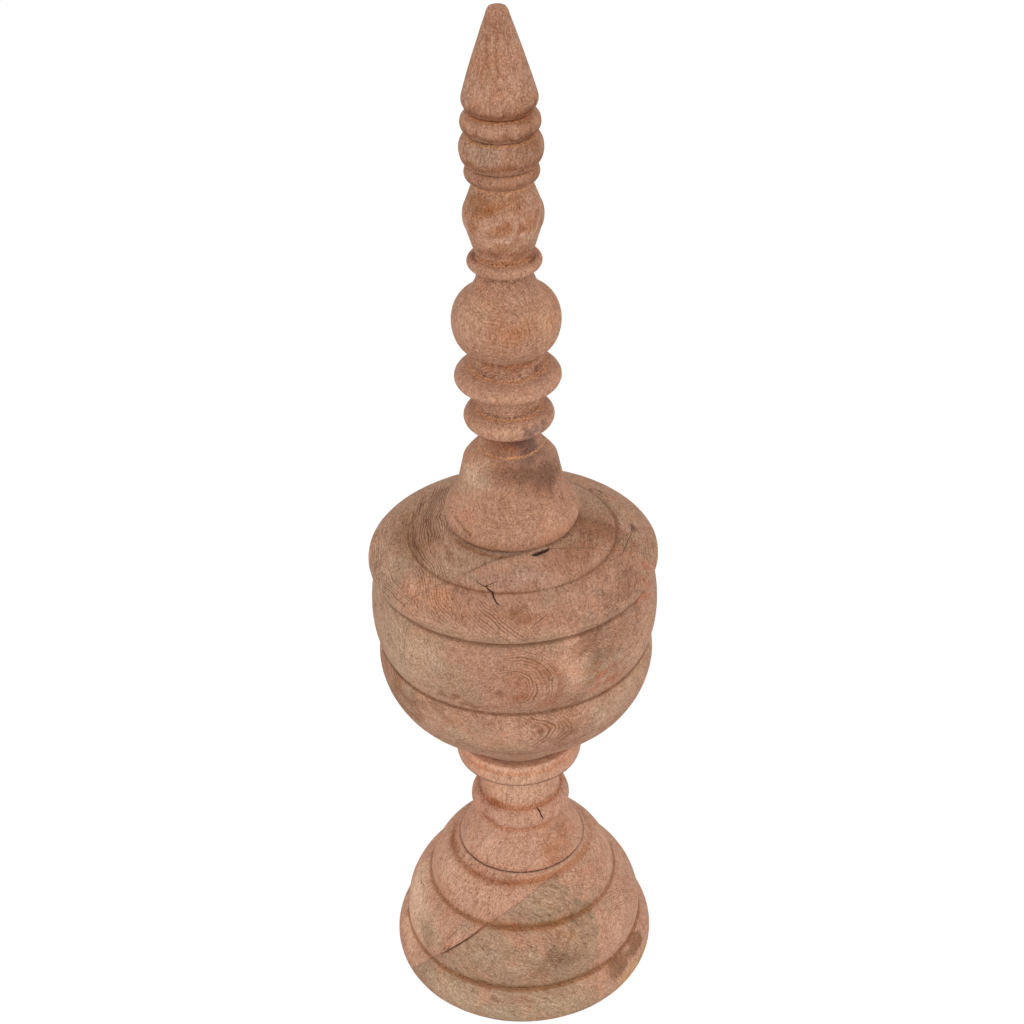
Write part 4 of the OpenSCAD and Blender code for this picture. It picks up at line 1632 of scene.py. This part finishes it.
@dataclass
class Spire(TurnedPiece):
    """The bell, waist, rings, ball, vase and spike over the urn."""

    node: str = "spire"
    slot: str = "spire_wood"
    base_z: float = 338.6
    spacing: float = 0.72
    columns: int = 146
    dip: float = 0.3
    bell_foot_d: float = 72.0
    bell_d: float = 78.6
    lip_h: float = 14.4
    lip_top_d: float = 72.0
    flare_h: float = 9.0
    flare_top_d: float = 62.6
    flare_dip: float = 0.8
    side_h: float = 18.9
    side_top_d: float = 54.8
    bell_top_h: float = 10.4
    bell_top_swell: float = 0.4
    waist_foot_d: float = 36.6
    waist_h: float = 12.3
    waist_d: float = 33.6
    low_ring_h: float = 12.8
    low_ring_d: float = 52.0
    low_neck_h: float = 13.8
    low_neck_d: float = 37.0
    ball_ring_h: float = 12.6
    ball_ring_d: float = 60.8
    ball_neck_h: float = 11.8
    ball_neck_d: float = 41.0
    ball_foot_d: float = 46.0
    ball_h: float = 31.4
    ball_d: float = 61.2
    ball_top_d: float = 47.2
    ball_cove_h: float = 17.4
    ball_cove_dip: float = 2.4
    vase_foot_d: float = 31.2
    vase_ring_h: float = 7.5
    vase_ring_d: float = 41.6
    vase_low_h: float = 17.6
    vase_d: float = 41.6
    belly_h: float = 12.5
    belly_swell: float = 1.4
    vase_top_h: float = 14.3
    vase_groove_d: float = 31.2
    third_ring_h: float = 8.9
    third_ring_d: float = 40.8
    groove_d: float = 33.6
    second_ring_h: float = 17.9
    second_ring_d: float = 45.4
    first_ring_h: float = 11.8
    first_ring_d: float = 43.0
    heel_groove_d: float = 29.6
    heel_h: float = 8.4
    heel_swell: float = 2.0
    spike_d: float = 40.4
    spike_h: float = 43.1
    spike_swell: float = 0.4
    tip_d: float = 12.8
    tip_edge_h: float = 4.0
    tip_flat_d: float = 9.2
    tip_edge_swell: float = 0.3
    tip_dome_h: float = 0.6
    tip_dome_swell: float = 0.1
    tip_top_d: float = 0.4

    def bottom_d(self) -> float:
        """Diameter of the flat underneath."""
        return self.bell_foot_d

    def courses(self) -> list[Course]:
        """Bell and waist, lower rings and ball, vase and upper rings, spike.

        Returns:
            The courses, from the bottom up.
        """
        bell = [
            ring(self.lip_h, self.bell_d, self.bell_foot_d, self.lip_top_d, Sweep.GENTLE),
            Course(self.flare_h, self.flare_top_d, -self.flare_dip),
            Course(self.side_h, self.side_top_d),
            Course(self.bell_top_h, self.waist_foot_d, self.bell_top_swell),
            Course(self.waist_h, self.waist_d, -self.dip),
        ]
        ball = [
            ring(self.low_ring_h, self.low_ring_d, self.waist_d, self.low_neck_d),
            Course(self.low_neck_h, self.low_neck_d, -self.dip),
            ring(self.ball_ring_h, self.ball_ring_d, self.low_neck_d, self.ball_neck_d),
            Course(self.ball_neck_h, self.ball_neck_d, -self.dip),
            Course(0.0, self.ball_foot_d),
            ring(self.ball_h, self.ball_d, self.ball_foot_d, self.ball_top_d, Sweep.ROUND),
            Course(self.ball_cove_h, self.vase_foot_d, -self.ball_cove_dip),
        ]
        vase = [
            ring(self.vase_ring_h, self.vase_ring_d, self.vase_foot_d, self.vase_foot_d),
            Course(self.vase_low_h, self.vase_d),
            Course(self.belly_h, self.vase_d, self.belly_swell),
            Course(self.vase_top_h, self.vase_groove_d),
            ring(self.third_ring_h, self.third_ring_d, self.vase_groove_d, self.groove_d),
            ring(self.second_ring_h, self.second_ring_d, self.groove_d, self.groove_d),
            ring(self.first_ring_h, self.first_ring_d, self.groove_d, self.heel_groove_d),
        ]
        spike = [
            Course(self.heel_h, self.spike_d, self.heel_swell),
            Course(self.spike_h, self.tip_d, self.spike_swell),
            Course(self.tip_edge_h, self.tip_flat_d, self.tip_edge_swell),
            Course(self.tip_dome_h, self.tip_top_d, self.tip_dome_swell),
        ]
        return bell + ball + vase + spike

    def marks(self) -> list[Mark]:
        """Stains, with the blue-grey one over the waist, streaks and growth lines, from below;
        some streaks are painted shade under the bell and the upper rings, and one is painted light
        at the heel.

        Returns:
            The marks.
        """
        orange, dark = (0.94, 0.7, 0.5), (0.62, 0.5, 0.42)
        slate = (0.5, 0.52, 0.62)
        return [
            StainAndPaintedLight((50, 356), 18, 14, (1.16, 1.15, 1.15), ragged=0.3),
            StainAndPaintedLight((-60, 358), 18, 16, (1.18, 1.2, 1.22)),
            StainAndPaintedLight((54, 364), 8, 12, (0.88, 0.84, 0.84), ragged=0.3),
            StainAndPaintedLight((46, 378), 15, 11, (0.56, 0.5, 0.48), turn=-15, ragged=0.15),
            StainAndPaintedLight((-46, 380), 16, 12, (1.24, 1.5, 1.6)),
            StainAndPaintedLight((44, 380), 17, 9, (0.74, 0.73, 0.73), ragged=0.3),
            StainAndPaintedLight((-40, 381), 15, 8, (1.1, 1.14, 1.18)),
            StainAndPaintedLight((4, 384), 20, 8, (0.52, 0.46, 0.43), ragged=0.12),
            StainAndPaintedLight((4, 397), 24, 8, (0.86, 0.79, 0.74)),
            StainAndPaintedLight((-12, 398), 14, 7, (0.8, 0.68, 0.6)),
            StainAndPaintedLight((24, 398), 14, 9, slate, ragged=0.35),
            StainAndPaintedLight((-2, 410), 50, 6, (1.16, 1.17, 1.19)),
            StainAndPaintedLight((34, 411), 9, 3.5, slate, ragged=0.4),
            StainAndPaintedLight((0, 417), 16, 7, (1.14, 1.18, 1.24), ragged=0.3),
            StainAndPaintedLight((-2, 435), 54, 6, (1.12, 1.12, 1.14)),
            StainAndPaintedLight((14, 443.6), 8, 1.4, (1.3, 1.34, 1.36), ragged=0.3),
            StainAndPaintedLight((54, 445), 4, 3, (0.6, 0.42, 0.34), ragged=0.5),
            StainAndPaintedLight((15, 449), 3, 1.6, (0.6, 0.42, 0.34), ragged=0.5),
            StainAndPaintedLight((0, 452), 22, 3, orange, ragged=0.5),
            StainAndPaintedLight((4, 478), 18, 12, (0.96, 0.86, 0.78), ragged=0.3),
            StainAndPaintedLight((52, 478), 14, 16, (1.2, 1.24, 1.18), ragged=0.3),
            StainAndPaintedLight((-50, 480), 22, 16, (1.02, 1.06, 1.08)),
            StainAndPaintedLight((-46, 480), 16, 14, (1.14, 1.18, 1.16), ragged=0.3),
            StainAndPaintedLight((-82, 510.8), 7, 2, dark),
            StainAndPaintedLight((70, 510.8), 7, 2, dark),
            StainAndPaintedLight((-7, 524), 40, 7, (1.09, 1.14, 1.17), ragged=0.3),
            StainAndPaintedLight((10, 524), 14, 4, (0.86, 0.76, 0.66), ragged=0.8),
            StainAndPaintedLight((18, 530), 16, 8, (1.1, 1.14, 1.2)),
            StainAndPaintedLight((-16, 532), 30, 8, (1.14, 1.18, 1.22)),
            StainAndPaintedLight((37, 534.4), 9, 4, (0.8, 0.66, 0.54), ragged=0.8),
            StainAndPaintedLight((-9, 534.7), 12, 4, (0.8, 0.66, 0.54), turn=15, ragged=0.8),
            StainAndPaintedLight((-38, 546), 12, 8, (0.8, 0.64, 0.46), ragged=0.4),
            StainAndPaintedLight((4, 548), 12, 5, (0.9, 0.78, 0.62), ragged=0.5),
            StainAndPaintedLight((0, 577), 20, 8, (0.94, 1.06, 1.14), ragged=0.3),
            StainAndPaintedLight((44, 577), 14, 12, (0.88, 0.82, 0.74), ragged=0.4),
            StainAndPaintedLight((50, 588), 10, 12, (0.8, 0.7, 0.62), ragged=0.3),
            StainAndPaintedLight((58, 600.5), 6, 1.4, (0.64, 0.56, 0.5), turn=25),
            StainAndPaintedLight((0, 642), 9, 10, (0.84, 0.76, 0.7)),
            # painted shadow: the bell's lower edge, where it meets the urn
            Streak(((-60, 340), (-25, 339.6), (0, 339.4)), 1.3, (0.7, 0.55, 0.42), 0.2),
            Streak(((-62, 352), (-50, 350.6), (-36, 347)), 1.0, dark, 0.3),
            Streak(((-58, 391), (-40, 390.5), (-20, 391)), 0.9, dark, 0.2),
            Streak(((-4, 391.5), (8, 391.2), (20, 391.5)), 0.9, (1.5, 1.25, 0.9), 0.2),
            Streak(((46, 421), (58, 417.6), (66, 419)), 0.8, dark, 0.3),
            Streak(level(513.2, -70, 70), 1.6, (1.2, 1.0, 0.78), 0.3),
            Streak(((-60, 519), (-20, 519), (20, 518), (60, 518)), 3.2, (0.72, 0.56, 0.46)),
            # painted shade: the lower halves of the third, second and first rings, under their
            # crests
            Streak(level(558.4, -90, 90), 3.0, (0.6, 0.46, 0.36)),
            Streak(level(569.4, -90, 90), 2.4, (0.66, 0.52, 0.42)),
            Streak(level(586, -90, 90), 2.4, (0.58, 0.44, 0.34)),
            # painted light: a lit strip where the first ring meets the heel
            Streak(level(594.4, -90, 90), 1.3, (1.3, 1.0, 0.72), 0.3),
            # painted shade: the heel's underside, below the spike
            Streak(level(598, -90, 90), 3.4, (0.6, 0.45, 0.34)),
            Streak(((-32, 640), (-32, 626), (-34, 612)), 1.3, (0.8, 0.7, 0.6)),
            Streak(((-6, 642), (-4, 626), (-6, 612)), 1.1, (0.84, 0.74, 0.66)),
            Figure(((-80, 362), (-40, 358), (0, 357), (40, 359), (80, 364)), 13, 0.3),
            Figure(((-80, 382), (-40, 379), (0, 378), (40, 379), (80, 383)), 11, 0.25),
            Figure(((-90, 422), (-30, 420), (30, 421), (90, 422)), 7, 0.8, 2.0),
            Figure(((-90, 448), (-30, 446), (30, 447), (90, 448)), 7, 0.8, 2.0),
            Figure(((-80, 470), (-45, 465), (-10, 463), (30, 464), (70, 469)), 11, 0.35, 1.2),
            Figure(((-80, 492), (-45, 488), (-10, 485), (30, 487), (70, 491)), 12, 0.35, 1.2),
        ]

    def finish(self) -> RawWood:
        """Rosy brown wood with upright grain.

        Returns:
            The wood.
        """
        main = Block((22, 34, 400), (0.04, 0.06, 1.0), tone(190, 146, 120), tone(160, 113, 86))
        return RawWood(
            blocks=(main,),
            late=tone(148, 98, 70),
            cool=tone(170, 134, 112),
            warm=tone(188, 130, 98),
            groove_and_shade_tone=tone(104, 62, 36),
            # painted light: colour of the up-facing groove ledges
            ledge_light=tone(212, 154, 110),
            dash=0.2,
            ring_mm=3.0,
            cool_share=0.35,
            # painted shade under the rings' overhangs
            under=0.3,
            groove=0.5,
            # painted light at the bottoms of the grooves
            crease=0.25,
            seed=4.0,
        )


# ---------------------------------------------------------------------------- studio


@dataclass(frozen=True)
class Lamp:
    """A square soft lamp.

    Args:
        name: its name.
        place: where it hangs, in metres.
        size: length of its side.
        power: its power in watts.
    """

    name: str
    place: Triple
    size: float
    power: float

    def hang(self, aim: Triple) -> None:
        """Adds the lamp, facing a point.

        Args:
            aim: the point it faces.
        """
        data = bpy.data.lights.new(self.name, "AREA")
        data.size, data.energy = self.size, self.power
        lamp = bpy.data.objects.new(self.name, data)
        lamp.location = self.place
        lamp.rotation_mode = "QUATERNION"
        toward = Vector(aim) - Vector(self.place)
        lamp.rotation_quaternion = toward.to_track_quat("-Z", "Y")
        bpy.context.scene.collection.objects.link(lamp)


@dataclass(frozen=True)
class Studio:
    """Floor, lamps, white surroundings and camera, in metres.

    Args:
        lamps: the lamps.
        aim: the point that they face.
        floor_half: half the side of the floor.
        floor_z: height of the floor, a hair under the object.
        floor_grey: how much light the floor scatters, from 0 to 1.
        floor_glow: light of the floor that the camera sees outside the shadow.
        glow_share: share of that light in what the camera sees of the floor.
        distance: how far in front of the axis the camera stands.
        height: how high it stands.
        pitch: degrees it looks down.
        roll: degrees it is turned about its own axis.
        lens: focal length in millimetres.
        sensor: width of the sensor in millimetres.
        surround: light of the white surroundings.
    """

    lamps: tuple[Lamp, ...] = (
        Lamp("key", (-1.8, -2.1, 2.0), 1.8, 24.0),
        Lamp("fill", (2.3, -1.4, 1.4), 2.0, 20.0),
    )
    aim: Triple = (0.0, 0.0, 0.3)
    floor_half: float = 9.0
    floor_z: float = -MM / 5
    floor_grey: float = 0.8
    floor_glow: float = 1.06
    glow_share: float = 0.9
    distance: float = 1.0198
    height: float = 1.0413
    pitch: float = 34.449
    roll: float = -1.711
    lens: float = 74.49
    sensor: float = 36.0
    surround: float = 0.736

    def build(self) -> None:
        """Sets up the whole studio."""
        self._floor()
        self._surroundings()
        for lamp in self.lamps:
            lamp.hang(self.aim)
        self._camera()
        bpy.context.scene.view_settings.view_transform = "Standard"

    def _floor(self) -> None:
        """A white floor that the camera sees at full white outside the object's shadow."""
        h, z = self.floor_half, self.floor_z
        mesh = bpy.data.meshes.new("floor")
        mesh.from_pydata([(-h, -h, z), (h, -h, z), (h, h, z), (-h, h, z)], [], [(0, 1, 2, 3)])
        floor = bpy.data.objects.new("floor", mesh)
        bpy.context.scene.collection.objects.link(floor)
        g = Graph("white_floor")
        seen = g.node("ShaderNodeLightPath", {}, {}, "Is Camera Ray")
        matt = g.add("ShaderNodeBsdfDiffuse", {}, {"Color": (self.floor_grey,) * 3})
        light = {"Color": (1, 1, 1), "Strength": self.floor_glow}
        glow = g.add("ShaderNodeEmission", {}, light)
        share = seen * self.glow_share
        inputs = {0: share, 1: Wire(g, matt.outputs[0]), 2: Wire(g, glow.outputs[0])}
        mesh.materials.append(g.finish(g.add("ShaderNodeMixShader", {}, inputs)))

    def _surroundings(self) -> None:
        """White surroundings: full white to the camera, softer as light."""
        world = bpy.data.worlds.new("surroundings")
        world.use_nodes = True
        tree = world.node_tree
        tree.nodes.clear()
        path = tree.nodes.new("ShaderNodeLightPath")
        strength = tree.nodes.new("ShaderNodeMapRange")
        strength.inputs["To Min"].default_value = self.surround
        strength.inputs["To Max"].default_value = 1.0
        back = tree.nodes.new("ShaderNodeBackground")
        back.inputs["Color"].default_value = (1, 1, 1, 1)
        out = tree.nodes.new("ShaderNodeOutputWorld")
        tree.links.new(path.outputs["Is Camera Ray"], strength.inputs["Value"])
        tree.links.new(strength.outputs[0], back.inputs["Strength"])
        tree.links.new(back.outputs[0], out.inputs["Surface"])
        bpy.context.scene.world = world

    def _camera(self) -> None:
        """Adds the camera: level to the axis, pitched down, then rolled about its own axis."""
        data = bpy.data.cameras.new("camera")
        data.lens, data.sensor_width = self.lens, self.sensor
        camera = bpy.data.objects.new("camera", data)
        tilt = Matrix.Rotation(math.radians(90 - self.pitch), 4, "X")
        turn = Matrix.Rotation(math.radians(self.roll), 4, "Z")
        place = Matrix.Translation((0, -self.distance, self.height))
        camera.matrix_world = place @ tilt @ turn
        bpy.context.scene.collection.objects.link(camera)
        bpy.context.scene.camera = camera


def main() -> None:
    """Loads the frame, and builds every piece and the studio."""
    logging.basicConfig(level=logging.INFO, format="%(name)s: %(message)s")
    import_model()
    for piece in (Foot(), Stem(), Urn(), Spire()):
        piece.build()
    Studio().build()
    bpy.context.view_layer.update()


if __name__ == "__main__":
    main()
